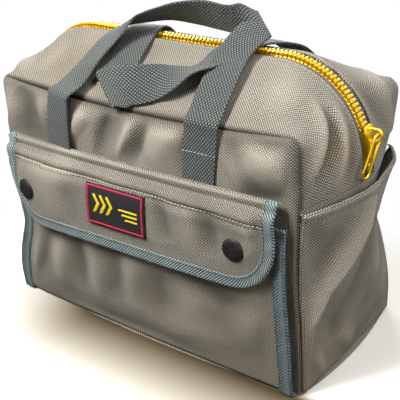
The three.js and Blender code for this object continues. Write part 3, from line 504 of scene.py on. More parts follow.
def webbingMaterial(name, look):
    material, tree = startMaterial(name)
    place = addNode(tree, "TexCoord", out="Object")
    weave, over = weaveHeight(tree, *clothMap(tree), look["pitchAlong"], look["pitchAcross"])
    fibre = addNode(tree, "TexNoise", Vector=place, Scale=grain(look["fibreSize"]), Detail=2.0)
    height = addNode(tree, "Math MULTIPLY", weave, addNode(tree, "Math MULTIPLY_ADD", fibre, 0.4, 0.8))
    yarn = addNode(tree, "Mix RGBA", over, look["under"], look["float"])
    colour = addNode(tree, "Mix RGBA", addNode(tree, "Math POWER", height, 1.1), look["gap"], yarn)
    dull = addNode(tree, "TexNoise", Vector=place, Scale=grain(look["dullSize"]), Detail=2.0)
    dull = addNode(tree, "Math MULTIPLY", dull, look["dullShare"])
    colour = addNode(tree, "Mix RGBA", dull, colour, look["under"])
    relief = addNode(tree, "Bump", Height=height, Strength=look["bump"], Distance=look["bumpDepth"] * mm)
    finishMaterial(tree, Base_Color=colour, Roughness=look["roughness"], Normal=relief,
                   Sheen_Weight=look["sheen"], Specular_IOR_Level=0.35)
    return material


# Cotton twill tape: slanted ribs, matt, drawn coarse enough to show. The flap's binding has them plain. On the
# pockets' side tapes, which are darker, they meet in a point along the middle, a herringbone.
tapeLook = {
    "ribPitch": 2.6, "slant": 1.1, "rib": "#a3b2b2", "valley": "#0c1214", "shade": "#425154",
    "fibreSize": 0.9091, "shadeSize": 25.0, "shadeShare": 0.5,
    "roughness": 0.85, "sheen": 0.1, "bump": 1.0, "bumpDepth": 0.5,
}
sideTapeLook = dict(tapeLook, rib="#83959a", valley="#090d0f", shade="#303d41")


def tapeMaterial(name, look, herringbone=False):
    material, tree = startMaterial(name)
    along, across = clothMap(tree)
    if herringbone:
        along, across = across, addNode(tree, "Math ABSOLUTE", along)
    place = addNode(tree, "TexCoord", out="Object")
    slant = addNode(tree, "Math ADD", along, addNode(tree, "Math MULTIPLY", across, look["slant"]))
    turn = addNode(tree, "Math MULTIPLY", slant, 2 * math.pi / (look["ribPitch"] * mm))
    rib = addNode(tree, "Math MULTIPLY_ADD", addNode(tree, "Math SINE", turn), 0.5, 0.5)
    rib = addNode(tree, "Math POWER", rib, 0.7)
    fibre = addNode(tree, "TexNoise", Vector=place, Scale=grain(look["fibreSize"]), Detail=2.0)
    height = addNode(tree, "Math MULTIPLY", rib, addNode(tree, "Math MULTIPLY_ADD", fibre, 0.6, 0.7))
    colour = addNode(tree, "Mix RGBA", height, look["valley"], look["rib"])
    broad = addNode(tree, "TexNoise", Vector=place, Scale=grain(look["shadeSize"]), Detail=2.0)
    broad = addNode(tree, "Math MULTIPLY", broad, look["shadeShare"])
    colour = addNode(tree, "Mix RGBA", broad, colour, look["shade"])
    relief = addNode(tree, "Bump", Height=height, Strength=look["bump"], Distance=look["bumpDepth"] * mm)
    finishMaterial(tree, Base_Color=colour, Roughness=look["roughness"], Normal=relief,
                   Sheen_Weight=look["sheen"], Specular_IOR_Level=0.3)
    return material


# Polyester zip tape: fine ribs along its length, dull lilac grey.
zipTapeLook = {
    "ribPitch": 1.3, "crossPitch": 0.9, "rib": "#6d6873", "valley": "#35323b",
    "roughness": 0.85, "bump": 0.5, "bumpDepth": 0.3,
}


def zipTapeMaterial(name, look):
    material, tree = startMaterial(name)
    waves = []
    for part, pitch in zip(clothMap(tree), (look["crossPitch"], look["ribPitch"])):
        turn = addNode(tree, "Math MULTIPLY", part, 2 * math.pi / (pitch * mm))
        waves.append(addNode(tree, "Math SINE", turn))
    height = addNode(tree, "Math ADD", waves[1], addNode(tree, "Math MULTIPLY", waves[0], 0.5))
    height = addNode(tree, "Math MULTIPLY_ADD", height, 0.33, 0.5)
    colour = addNode(tree, "Mix RGBA", height, look["valley"], look["rib"])
    relief = addNode(tree, "Bump", Height=height, Strength=look["bump"], Distance=look["bumpDepth"] * mm)
    finishMaterial(tree, Base_Color=colour, Roughness=look["roughness"], Normal=relief)
    return material


# Cast and stamped brass, polished yellow, with a little tarnish in grains.
brassLook = {
    "base": "#fbd42f", "worn": "#b9760f", "wornFrom": 0.5, "wornShare": 0.5, "grainSize": 2.381,
    "roughness": 0.2, "roughMore": 0.2, "bump": 0.15, "bumpDepth": 0.2,
    "shader": {"Metallic": 0.88},
}
# Black oxidised brass cap: dark, half gloss, with faint brown wear.
snapLook = {
    "base": "#171415", "worn": "#332c28", "wornFrom": 0.45, "wornShare": 0.6, "grainSize": 3.333,
    "roughness": 0.3, "roughMore": 0.25, "bump": 0.12, "bumpDepth": 0.3,
    "shader": {"Specular_IOR_Level": 0.35},
}


def wornMetal(name, look):
    material, tree = startMaterial(name)
    place = addNode(tree, "TexCoord", out="Object")
    grime = addNode(tree, "TexNoise", Vector=place, Scale=grain(look["grainSize"]), Detail=3.0)
    share = addNode(tree, "MapRange", grime, look["wornFrom"], 0.8, 0.0, look["wornShare"])
    colour = addNode(tree, "Mix RGBA", share, look["base"], look["worn"])
    rough = addNode(tree, "Math MULTIPLY_ADD", grime, look["roughMore"], look["roughness"])
    relief = addNode(tree, "Bump", Height=grime, Strength=look["bump"], Distance=look["bumpDepth"] * mm)
    finishMaterial(tree, Base_Color=colour, Roughness=rough, Normal=relief, **look["shader"])
    return material


# Woven label cloth, its satin embroidery and the sewing threads, all with fine slanted ribs and little gloss:
# the colour, its shade, and the pitch of the ribs.
threadLook = {
    "wovenLabel": ("#262427", "#121113", 0.9),
    "redEdging": ("#e02a58", "#8f1a38", 0.8),
    "yellowEmbroidery": ("#f2e21e", "#b89a10", 0.8),
    "paleSewingThread": ("#b3ab9b", "#8b8373", 0.7),
    "creamSewingThread": ("#f0e8d4", "#c2b89f", 0.7),
    "darkSewingThread": ("#454a49", "#2c3030", 0.7),
    "whiteSewingThread": ("#c9cbc8", "#9a9c99", 0.7),
}


def threadMaterial(name, base, dark, pitch):
    material, tree = startMaterial(name)
    place = addNode(tree, "TexCoord", out="Object")
    x, _, z = addNode(tree, "SeparateXYZ", place, out=None)
    slant = addNode(tree, "Math ADD", x, addNode(tree, "Math MULTIPLY", z, 0.35))
    turn = addNode(tree, "Math MULTIPLY", slant, 2 * math.pi / (pitch * mm))
    rib = addNode(tree, "Math MULTIPLY_ADD", addNode(tree, "Math SINE", turn), 0.5, 0.5)
    fibre = addNode(tree, "TexNoise", Vector=place, Scale=grain(1.111), Detail=2.0)
    height = addNode(tree, "Math MULTIPLY", rib, addNode(tree, "Math ADD", fibre, 0.4))
    colour = addNode(tree, "Mix RGBA", height, dark, base)
    relief = addNode(tree, "Bump", Height=height, Strength=0.4, Distance=0.3 * mm)
    finishMaterial(tree, Base_Color=colour, Roughness=0.7, Normal=relief, Specular_IOR_Level=0.3)
    return material


# Pressed board under the bag's floor cloth: plain grey-black with a faint moulded grain.
boardLook = {"dark": "#2b2b2d", "light": "#47474a", "grainSize": 2.857, "roughness": 0.75, "bump": 0.3,
             "bumpDepth": 0.4}


def boardMaterial(name, look):
    material, tree = startMaterial(name)
    place = addNode(tree, "TexCoord", out="Object")
    grime = addNode(tree, "TexNoise", Vector=place, Scale=grain(look["grainSize"]), Detail=3.0)
    colour = addNode(tree, "Mix RGBA", grime, look["dark"], look["light"])
    relief = addNode(tree, "Bump", Height=grime, Strength=look["bump"], Distance=look["bumpDepth"] * mm)
    finishMaterial(tree, Base_Color=colour, Roughness=look["roughness"], Normal=relief)
    return material


canvas = canvasMaterial("cottonDuck", canvasLook)
webbing = webbingMaterial("wovenWebbing", webbingLook)
twill = tapeMaterial("twillTape", tapeLook)
herringbone = tapeMaterial("herringboneTape", sideTapeLook, herringbone=True)
zipCloth = zipTapeMaterial("wovenZipTape", zipTapeLook)
brass = wornMetal("polishedBrass", brassLook)
blackSnap = wornMetal("oxidisedSnap", snapLook)
threads = {name: threadMaterial(name, *look) for name, look in threadLook.items()}
board = boardMaterial("pressedBoard", boardLook)
print("materials ready")

# Panels

# Folds are placed by x and z. The panels are pulled in along their seams, and painted darker there as shaded.
frontPanelLook = {
    "steps": (190, 130), "roll": 3.0, "waves": 0.7, "tuck": 3.2, "tuckWidth": 4.6,
    # painted shade along the seams: edges, reach in mm, darkness at the edge
    "seam": (("high", "start", "end"), 6.0, 0.55),
    "folds": [
        [[(-133, 196), (-127, 176), (-122, 158)], 9, 10, 2.4],
        [[(-136, 166), (-104, 164), (-70, 166)], 13, 13, -4.2],
        [[(-118, 198), (-108, 186), (-103, 168)], 10, 12, -4.2],
        [[(-86, 198), (-90, 182), (-92, 160)], 6, 8, 2.6],
        [[(-46, 200), (-46, 186), (-58, 172), (-66, 160)], 6, 10, 3.8],
        [[(-20, 203), (-22, 190), (-30, 172), (-34, 152)], 9, 5, -4.4],
        [[(-4, 203), (4, 194), (0, 180), (-12, 160)], 4, 6, 5.0],
        [[(12, 203), (15, 190), (10, 174), (0, 156)], 5, 6, -4.4],
        [[(52, 202), (40, 187), (20, 162)], 10, 17, 5.8],
        [[(56, 200), (58, 184), (50, 160)], 6, 7, -2.8],
        [[(84, 198), (98, 180), (106, 166), (112, 150)], 11, 8, -3.6],
        [[(100, 200), (118, 196), (136, 198)], 5, 6, -2.2],
        [[(90, 166), (108, 180), (136, 180)], 15, 14, 7.0],
        [[(96, 156), (114, 155), (136, 160)], 8, 7, -3.0],
    ],
}


def panelSurface(place, stand, rear):
    def surface(u, v):
        # rows of points lie closer together under the seam
        eased = np.where(v < 0.9, v * 0.97 / 0.9, mix(0.97, 1, (v - 0.9) / 0.1))
        level = mix(floorLevel, seamHeight, eased)
        rounding = -rollIn(seamHeight - level, shell["cornerRadius"])
        x = mix(rounding - cornerReach(-1, rear, level), cornerReach(1, rear, level) - rounding, u)
        reach = panelHalfTop - shell["cornerRadius"]
        fade = smooth((level - bendZ) / (seamHeight - bendZ))
        sag = shell["seamSag"] * np.maximum(0, 1 - (x / reach) ** 2) * fade
        return place(x, level - sag, stand(x, level))
    return surface


def panelRelief(look, seed):
    def relief(p, edges):
        x, z = p[..., 0], p[..., 2]
        beside = np.minimum(edges["start"], edges["end"])
        near = np.minimum(beside, edges["high"])
        free = smooth(near / 14)    # folds end short of the seams
        moved = foldField(x, z, look["folds"]) + softWaves(x, z, seed, 60, look["waves"])
        tucked = ridge(beside, 0, look["tuckWidth"], 0.7) * smooth((z - 160) / 15)
        tucked = np.maximum(ridge(edges["high"], 0, look["tuckWidth"], 1), tucked)
        return moved * free + rollIn(near, look["roll"]) - look["tuck"] * tucked
    return relief


def makePanel(name, look, place, stand, rear, seed, node):
    outward = (0, 1 if rear else -1, 0)
    panel = makeSheet(name, panelSurface(place, stand, rear), look["steps"], canvasThickness, outward, canvas,
                      panelRelief(look, seed), seam=look["seam"])
    fasten(panel, "bag", "canvas", node)


rearPanelLook = {
    "steps": (120, 90), "roll": 2.4, "waves": 0.6, "tuck": 2.6, "tuckWidth": 4.6,
    # the same painted shade along the seams as on the front
    "seam": frontPanelLook["seam"],
    "folds": [
        [[(60, 200), (48, 184), (40, 160)], 8, 11, -3.6],
        [[(86, 200), (80, 184), (78, 160)], 10, 9, 2.2],
        [[(-70, 201), (-60, 186), (-58, 160)], 9, 8, -3.2],
        [[(-30, 200), (-34, 184), (-30, 160)], 8, 10, 2.4],
        [[(0, 200), (6, 184), (2, 160)], 10, 10, 2.0],
        [[(110, 196), (120, 178)], 10, 10, 2.0],
        [[(-118, 198), (-112, 180), (-116, 160)], 10, 10, -2.4],
    ],
}
makePanel("canvas_front_panel", frontPanelLook, onFront, frontStand, False, 3, "front_panel")
makePanel("canvas_rear_panel", rearPanelLook, onRear, rearStand, True, 5, "rear_panel")
print("panels sewn")

# Top and ends

# Folds of the top and ends are placed by distance along the zip line from the middle, and by depth.
topLook = {
    # its seam gets painted shade: edges, reach in mm, darkness at the edge
    "steps": (320, 48), "roll": 3.8, "waves": 0.8, "seam": (("high",), 2.4, 1.8),
    "folds": [
        [[(132, -28), (150, -34), (168, -46), (184, -57), (206, -65)], 3, 9, 4.4],
        [[(142, -24), (160, -32), (178, -43), (198, -54)], 5, 5, -4.4],
        [[(146, -18), (166, -24), (184, -32), (206, -40)], 5, 4, 3.8],
        [[(158, -12), (178, -17), (204, -25)], 4, 4, -3.0],
        [[(98, -46), (112, -38), (130, -34)], 12, 12, 1.4],
        [[(20, -52), (40, -46), (58, -40)], 12, 10, -2.0],
        [[(-24, -56), (-4, -52), (12, -56)], 9, 8, 2.4],
        [[(-66, -44), (-50, -50), (-34, -58)], 10, 9, -2.2],
        [[(-118, -58), (-104, -46), (-92, -30)], 9, 10, 1.8],
        [[(-118, -56), (-150, -44), (-190, -46)], 8, 8, 3.0],
        [[(-140, -26), (-165, -22), (-185, -26)], 9, 8, -3.0],
        [[(112, 58), (146, 44), (166, 42), (194, 50)], 8, 8, 3.2],
        [[(140, 26), (164, 24), (188, 30)], 9, 8, -3.0],
        [[(-118, 56), (-150, 44), (-190, 46)], 8, 8, 3.0],
        [[(-140, 26), (-165, 22), (-185, 26)], 9, 8, -3.0],
        [[(30, 40), (70, 52)], 14, 12, -2.0],
        [[(-60, 52), (-20, 46)], 14, 12, 1.8],
    ],
}


# How far along the zip line a place on the top is, from the middle, positive to the right.
def runAt(s):
    half = np.where(s <= 3, s, 6 - s)
    arc = bendRadius * quarter
    run = np.select([half >= 2, half >= 1], [bendX * (3 - half), bendX + arc * (2 - half)],
                    bendX + arc + bendZ * (1 - half))
    return np.where(s <= 3, -run, run)


def gussetSurface(front):
    edge = wAt(shell["zipOpening"] / 2)

    def surface(u, v):
        away = v ** 1.25
        w = mix(1 - edge, 0, away) if front else mix(edge, 1, away)
        return gussetPoint(mix(zipFoot, 6 - zipFoot, u), w)
    return surface


def gussetRelief(look, seed):
    def relief(p, edges):
        s = mix(zipFoot, 6 - zipFoot, np.linspace(0, 1, p.shape[0]))[:, None] + 0 * p[..., 0]
        run, depth = runAt(s), p[..., 1]
        free = smooth(edges["high"] / 12) * smooth(edges["low"] / 10)
        moved = foldField(run, depth, look["folds"]) + softWaves(run, depth, seed, 50, look["waves"])
        return moved * free + rollIn(edges["high"], look["roll"])
    return relief


for word, seed in (("front", 7), ("rear", 9)):
    top = makeSheet("canvas_top_" + word, gussetSurface(word == "front"), topLook["steps"], canvasThickness,
                    (0, 0, 1), canvas, gussetRelief(topLook, seed), seam=topLook["seam"])
    fasten(top, "bag", "canvas", "zip_gusset_" + word)

# The ends under the zip, and the pockets on them. Their folds are placed by y and z.
endLook = {
    "steps": (60, 70), "pocketSteps": (90, 110), "roll": 2.2, "mouth": 150.0, "edge": 2.6, "swell": 3.0,
    "floorShare": 0.3, "hem": 8.0, "hemProud": 0.6, "waves": 0.7, "panelWaves": 0.4,
    "gape": 5.0, "gapeMiddle": 0.86, "gapeWidth": 0.16,
    # lines along the mouth: distance, width, height
    "weltLine": (2.4, 1.8, 1.0), "hemSeam": (8.2, 0.8, -0.7), "mouthRoll": 1.6, "floorRoll": 3.0,
    "panelFolds": [[[(-40, 152), (-36, 100)], 12, 12, -1.6]],
    "pocketFolds": [
        [[(6, 150), (-10, 120), (-25, 104), (-46, 85), (-60, 60), (-65, 24)], 3, 14, 5.8],
        [[(6, 150), (-10, 120), (-25, 104), (-46, 85), (-60, 60), (-65, 24)], 1.8, 2.2, 1.4],
        [[(-32, 128), (-50, 104), (-60, 80)], 8, 9, -3.4],
        [[(-40, 60), (-34, 44), (-30, 30)], 9, 8, -3.0],
        [[(14, 124), (4, 96), (-14, 66), (-30, 48)], 12, 9, -3.6],
        [[(-56, 34), (-50, 20), (-44, 6)], 5, 6, 2.6],
        [[(-28, 38), (-14, 22), (-4, 6)], 8, 8, 2.6],
        [[(20, 110), (18, 76), (26, 40)], 9, 10, 3.0],
        [[(44, 128), (40, 96), (48, 62)], 8, 9, -3.4],
        [[(58, 120), (54, 96), (60, 78)], 6, 6, -2.2],
        [[(50, 60), (46, 36), (50, 16)], 9, 9, 2.4],
        [[(-60, 144), (-56, 120)], 7, 8, -1.8],
    ],
}


def endStand(w, z):
    across = np.sin(math.pi * np.clip(w, 0, 1)) ** 0.7
    up = mix(endLook["floorShare"], 1, np.sin(quarter * np.clip(z / (0.6 * endLook["mouth"]), 0, 1)))
    return endLook["edge"] + endLook["swell"] * across * up


# The mouth hangs open towards the rear.
def mouthGape(w, z):
    return ridge(w, endLook["gapeMiddle"], endLook["gapeWidth"], endLook["gape"]) * smooth((z - 108) / 40)


def endPoint(side, w, z, stand):
    s = z / bendZ
    point = gussetPoint(s if side < 0 else 6 - s, w)
    point[..., 0] += side * stand
    return point


for side, word in ((-1, "left"), (1, "right")):
    out = (side, 0, 0)

    def endSurface(u, v, side=side):
        s = mix(floorLevel / bendZ, zipFoot - gap / bendZ, v)
        return gussetPoint(s if side < 0 else 6 - s, u)

    def endRelief(p, edges, seed=11 + side):
        near = np.minimum(edges["start"], edges["end"])
        free = smooth(near / 14) * smooth(edges["high"] / 12)
        moved = foldField(p[..., 1], p[..., 2], endLook["panelFolds"])
        moved = moved + softWaves(p[..., 1], p[..., 2], seed, 50, endLook["panelWaves"])
        # under the pocket the cloth doesn't stand out
        return np.minimum(moved, 0.2) * free + rollIn(near, endLook["roll"])

    panel = makeSheet("canvas_end_" + word, endSurface, endLook["steps"], canvasThickness, out, canvas,
                      endRelief)
    fasten(panel, "bag", "canvas", "end_panel_" + word)

    def pocketSurface(u, v, side=side):
        z = mix(floorLevel, endLook["mouth"], v)
        hem = smooth((z - endLook["mouth"] + endLook["hem"]) / 1.2)
        return endPoint(side, u, z, endStand(u, z) + endLook["hemProud"] * hem + mouthGape(u, z))

    def pocketRelief(p, edges, side=side):
        near = np.minimum(edges["start"], edges["end"])
        y, z = p[..., 1], p[..., 2]
        free = smooth(near / 10) * smooth(edges["low"] / 8)
        moved = foldField(y, z, endLook["pocketFolds"]) + softWaves(y, z, 17 + side, 55, endLook["waves"])
        welt = ridge(edges["high"], *endLook["weltLine"]) + rollIn(edges["high"], endLook["mouthRoll"])
        seam = ridge(edges["high"], *endLook["hemSeam"])
        sewn = rollIn(near, endLook["roll"]) + rollIn(edges["low"], endLook["floorRoll"])
        return moved * free + welt + seam + sewn

    pocket = makeSheet("canvas_end_pocket_" + word, pocketSurface, endLook["pocketSteps"], canvasThickness,
                       out, canvas, pocketRelief)
    fasten(pocket, "bag", "canvas", "end_pocket_" + word, "end_pocket_hem_" + word)
print("top and ends sewn")

# Front and rear pockets

pocketLook = {
    "steps": (170, 90), "halfWidth": 134.0, "mouth": 138.0, "edge": 4.5, "swell": 3.5, "mouthShare": 0.35,
    "flare": 14.0, "floorRoll": 3.5,
    # the side tapes' width, and how they lie on the cloth, which runs on under them
    "tape": 10.0, "tapeProud": 0.8, "tapeInward": 0.8, "tapeWiden": 2.4, "tapeSteps": (14, 110),
    "overMouth": 2.0, "underTape": 3.0,
    "folds": [
        [[(-116, 76), (-120, 50), (-130, 20)], 6, 9, 2.4],
        [[(-104, 82), (-108, 52), (-118, 24)], 8, 8, -2.6],
        [[(-82, 84), (-84, 56), (-92, 22)], 9, 12, 4.6],
        [[(-62, 86), (-60, 56), (-64, 26)], 8, 9, -3.2],
        [[(-46, 88), (-42, 60), (-44, 20)], 7, 9, 2.8],
        [[(-22, 88), (-20, 60), (-26, 30)], 8, 9, -2.8],
        [[(-2, 86), (-4, 54), (-8, 26)], 8, 9, 2.4],
        [[(20, 84), (24, 52), (20, 24)], 10, 11, -2.6],
        [[(48, 84), (52, 56), (46, 28)], 11, 12, 2.2],
        [[(80, 86), (82, 60), (72, 30)], 12, 12, -2.0],
        [[(106, 92), (108, 60), (102, 26)], 9, 11, 2.0],
        [[(44, 74), (84, 68), (118, 72)], 12, 9, -2.4],
        [[(-20, 34), (40, 30), (90, 38)], 12, 14, 1.6],
        [[(-90, 14), (-20, 8), (60, 12)], 9, 7, -1.6],
    ],
    "waves": 0.7,
}
rearPocketLook = {
    "steps": (150, 90), "halfWidth": 134.0, "mouth": 146.0, "edge": 4.5, "swell": 4.0, "mouthShare": 0.35,
    "folds": [
        [[(104, 140), (96, 96), (102, 30)], 9, 10, 2.6],
        [[(80, 140), (70, 90), (74, 30)], 10, 11, -3.0],
        [[(52, 142), (46, 90), (50, 30)], 9, 10, 2.6],
        [[(24, 142), (20, 90), (28, 30)], 9, 10, -2.8],
        [[(-6, 142), (-10, 90), (-4, 30)], 10, 10, 2.4],
        [[(-36, 142), (-44, 90), (-36, 30)], 10, 11, -3.0],
        [[(-70, 142), (-66, 84), (-72, 30)], 10, 10, 2.6],
        [[(-100, 140), (-98, 84), (-106, 30)], 10, 11, -2.6],
    ],
    "waves": 0.7,
}


def pocketShape(look, x, z):
    across = np.maximum(0, 1 - (x / look["halfWidth"]) ** 2) ** 0.6
    return across * mix(look["mouthShare"], 1, np.sin(math.pi * np.clip(z / look["mouth"], 0, 1)))


def pocketStand(x, z):
    return frontStand(x, z) + pocketLook["edge"] + pocketLook["swell"] * pocketShape(pocketLook, x, z)


def rearPocketStand(x, z):
    look = rearPocketLook
    return rearStand(x, z) + look["edge"] + look["swell"] * pocketShape(look, x, z)


def frontShift(z, side):
    return pocketLook["flare"] * (1 - smooth(z / shell["flareTop"])) if side < 0 else 0 * z


def rearShift(z, side):
    return -waist(z)


# The cloth runs on under its side tapes.
pocketHalf = pocketLook["halfWidth"] - pocketLook["tape"] - 2 * gap + pocketLook["underTape"]


def makePocket(name, look, place, outward, stand, shift, seed, node):
    def surface(u, v):
        z = mix(floorLevel, look["mouth"], v)
        x = mix(-pocketHalf - shift(z, -1), pocketHalf + shift(z, 1), u)
        return place(x, z, stand(x, z))

    def relief(p, edges):
        x, z = p[..., 0], p[..., 2]
        near = np.minimum(edges["start"], edges["end"])
        free = smooth(near / 16) * smooth(edges["low"] / 6)
        moved = foldField(x, z, look["folds"]) + softWaves(x, z, seed, 60, look["waves"])
        return moved * free + rollIn(edges["low"], pocketLook["floorRoll"])

    pocket = makeSheet(name, surface, look["steps"], canvasThickness, outward, canvas, relief)
    fasten(pocket, "bag", "canvas", node)


# A folded tape sewn over the pocket's side edge, rounded at its own edges.
def sideTape(name, look, place, outward, stand, shift, side, node):
    def surface(u, v):
        z = mix(floorLevel, look["mouth"] + pocketLook["overMouth"], v)
        inner = look["halfWidth"] - pocketLook["tape"] + shift(z, side)
        x = side * (inner + pocketLook["tapeInward"] + (pocketLook["tape"] + pocketLook["tapeWiden"]) * u)
        return place(x, z, stand(side * inner, np.minimum(z, look["mouth"])) + pocketLook["tapeProud"])

    def relief(p, edges):
        near = np.minimum(edges["start"], edges["end"])
        uneven = 0.25 * softWaves(p[..., 0], p[..., 2], 31, 16, 1) - 0.2
        return rollIn(near, 0.9) + rollIn(edges["high"], 1.4) + uneven

    thickness = pocketLook["edge"] + pocketLook["tapeProud"] - 2 * gap
    tape = makeSheet(name, surface, pocketLook["tapeSteps"], thickness, outward, herringbone, relief)
    fasten(tape, "bag", "tape", node)


frontPlace = (pocketLook, onFront, (0, -1, 0), pocketStand, frontShift)
rearPlace = (rearPocketLook, onRear, (0, 1, 0), rearPocketStand, rearShift)
makePocket("canvas_front_pocket", *frontPlace, 21, "front_pocket")
makePocket("canvas_rear_pocket", *rearPlace, 23, "rear_pocket")
for side, word in ((-1, "left"), (1, "right")):
    sideTape("tape_front_" + word, *frontPlace, side, "front_pocket_tape_" + word)
    sideTape("tape_rear_" + word, *rearPlace, side, "rear_pocket_tape_" + word)
print("pockets sewn")

# Flap

flapLook = {
    "steps": (190, 90), "halfWidth": 131.0, "bottom": 87.0, "cornerRadius": 38.0, "hinge": 147.0,
    "top": 161.0, "inset": 5.0, "headingStand": 4.2, "standLeft": 17.0, "standRight": 13.0,
    "fall": 17.0, "gap": 4.9, "hangOut": 5.0, "turnBack": 5.5, "topDrop": 1.5,
    "seamDropLeft": 3.0, "seamDropRight": 7.0, "waves": 0.45,
    # lines as distance, width, height: along the rolled top edge, and along the hinge seam by height over it
    "topRoll": 2.6, "topLines": [(3.0, 2.3, 2.3), (6.8, 1.1, -1.1)],
    "seamLine": (0, 1.0, -1.2), "besideSeam": [(4.2, 3.0, 1.3), (-5.5, 4.5, 1.0)],
    "folds": [
        [[(-118, 142), (-114, 118), (-108, 96)], 8, 9, 1.4],
        [[(-104, 138), (-78, 134), (-46, 139)], 15, 13, 2.6],
        [[(-84, 132), (-80, 116), (-78, 96)], 12, 12, 1.4],
        [[(-58, 138), (-54, 120), (-52, 98)], 8, 9, -1.6],
        [[(30, 143), (37, 128), (42, 108)], 6, 8, -3.8],
        [[(56, 142), (60, 124), (62, 102)], 9, 8, 2.4],
        [[(74, 143), (78, 128), (80, 106)], 8, 9, -3.2],
        [[(108, 142), (114, 128), (110, 106)], 9, 7, 2.2],
    ],
}
hingeSeam = {"start": (0, -0.083, 0.1505), "end": (0, -0.083, 0.1435)}


def hingeStand(x):
    return mix(flapLook["standLeft"], flapLook["standRight"], 0.5 + x / (2 * flapLook["halfWidth"]))


def flapStand(x, z):
    up = smooth((z - flapLook["hinge"]) / (flapLook["top"] - flapLook["hinge"]))
    heading = mix(hingeStand(x), frontStand(x, z) + flapLook["headingStand"], up)
    down = smooth((flapLook["hinge"] - z) / flapLook["fall"])
    hanging = mix(hingeStand(x), pocketStand(x, np.minimum(z, pocketLook["mouth"])) + flapLook["gap"], down)
    out = flapLook["hangOut"] * (1 - smooth((x + flapLook["halfWidth"]) / 120)) * down
    back = flapLook["turnBack"] * smooth((-x - 92) / 46) ** 1.5 * down
    return np.where(z >= flapLook["hinge"], heading, hanging + out - back)


# The seam that holds the flap lies a little under its fold.
def flapSeam(x):
    share = 0.5 + x / (2 * flapLook["halfWidth"])
    return flapLook["hinge"] - mix(flapLook["seamDropLeft"], flapLook["seamDropRight"], share)


# The left edge slants outwards.
def slant(x, z):
    return smooth((-x - 70) / 60) * mix(-1.5, 4.0, smooth((z - 112) / 34))


# One cloth from the rolled top edge over the hinge seam down to the binding.
def flapSurface(u, v):
    hinge, inset = flapLook["hinge"], flapLook["inset"]
    low = flapLook["bottom"] + inset
    share = (hinge - low) / (flapLook["top"] - low)
    down = np.clip(v / share, 0, 1)
    below = mix(low, hinge, mix(down, 1 - np.cos(down * quarter), 0.6))
    above = mix(hinge, flapLook["top"] - flapLook["topDrop"], (v - share) / (1 - share))
    z = np.where(v <= share, below, above)
    reach = flapLook["halfWidth"] - inset
    corner = np.where(z > hinge, 0, rollIn(z - low, flapLook["cornerRadius"] - inset))
    x = mix(-1, 1, u) * (reach + corner)
    x = x + slant(x, z)
    return onFront(x, z, flapStand(x, z))


def flapRelief(p, edges):
    x, z = p[..., 0], p[..., 2]
    near = np.minimum(np.minimum(edges["start"], edges["end"]), edges["low"])
    moved = foldField(x, z, flapLook["folds"]) + softWaves(x, z, 27, 55, flapLook["waves"])
    top = rollIn(edges["high"], flapLook["topRoll"])
    top = top + sum(ridge(edges["high"], *line) for line in flapLook["topLines"])
    over = z - flapSeam(x)
    seam = ridge(over, *flapLook["seamLine"])
    beside = sum(ridge(over, *line) for line in flapLook["besideSeam"])
    # flat under the binding
    return moved * smooth((near - 7) / 12) + top + seam + beside * smooth((near - 9) / 5)


flap = makeSheet("canvas_flap", flapSurface, flapLook["steps"], canvasThickness, (0, -1, 0), canvas,
                 flapRelief)
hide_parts("front_flap", "flap_heading")
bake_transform(flap)

# Binding round the flap: down one side, along the lower edge and up the other, to the rolled top.
bindingLook = {
    "width": 10.0, "thickness": 3.2, "steps": (330, 16), "proud": 0.9, "overTop": 0.3,
    # lines across its ends and along its outer edge: distance, width, height
    "endLines": [(3.4, 3.0, 2.6), (8.5, 1.3, -0.9)], "edgeLine": (2.4, 1.8, 0.35),
}


# The binding's middle line, and the way out from it.
def bindingTrack(along):
    width = bindingLook["width"]
    half, radius = flapLook["halfWidth"] - width / 2, flapLook["cornerRadius"] - width / 2
    low = flapLook["bottom"] + width / 2
    top = flapLook["top"] - flapLook["topDrop"] + bindingLook["overTop"]
    straight, arc = top - low - radius, radius * quarter
    total = 2 * (straight + arc + half - radius)
    side = np.where(along > 0.5, 1, -1)
    d = np.where(along > 0.5, 1 - along, along) * total
    turn = np.clip((d - straight) / radius, 0, quarter)
    parts = [d <= straight, d <= straight + arc]
    outX = np.select(parts, [side, side * np.cos(turn)], 0)
    outZ = np.select(parts, [0 * d, -np.sin(turn)], -1)
    corner = half - radius
    x = side * np.select(parts, [half + 0 * d, corner + radius * np.cos(turn)], corner - (d - straight - arc))
    z = np.select(parts, [top - d, low + radius - radius * np.sin(turn)], low)
    return x, z, outX, outZ


def bindingSurface(u, v):
    x, z, outX, outZ = bindingTrack(u)
    reach = mix(-bindingLook["width"] / 2, bindingLook["width"] / 2, v)
    x, z = x + outX * reach, z + outZ * reach
    x = x + slant(x, z)
    return onFront(x, z, flapStand(x, z) + bindingLook["proud"])


def bindingRelief(p, edges):
    ends = np.minimum(edges["start"], edges["end"])
    rolled = rollIn(edges["high"], 1.5) * 1.1 + rollIn(edges["low"], 0.8) + rollIn(ends, 2.6)
    raised = ridge(edges["high"], *bindingLook["edgeLine"])
    raised = raised + sum(ridge(ends, *line) for line in bindingLook["endLines"])
    return rolled + raised + 0.15 * softWaves(p[..., 0], p[..., 2], 33, 14, 1)


binding = makeSheet("tape_flap_binding", bindingSurface, bindingLook["steps"], bindingLook["thickness"],
                    (0, -1, 0), twill, bindingRelief, even=True)
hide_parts("flap_binding")
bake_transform(binding)
print("flap sewn")

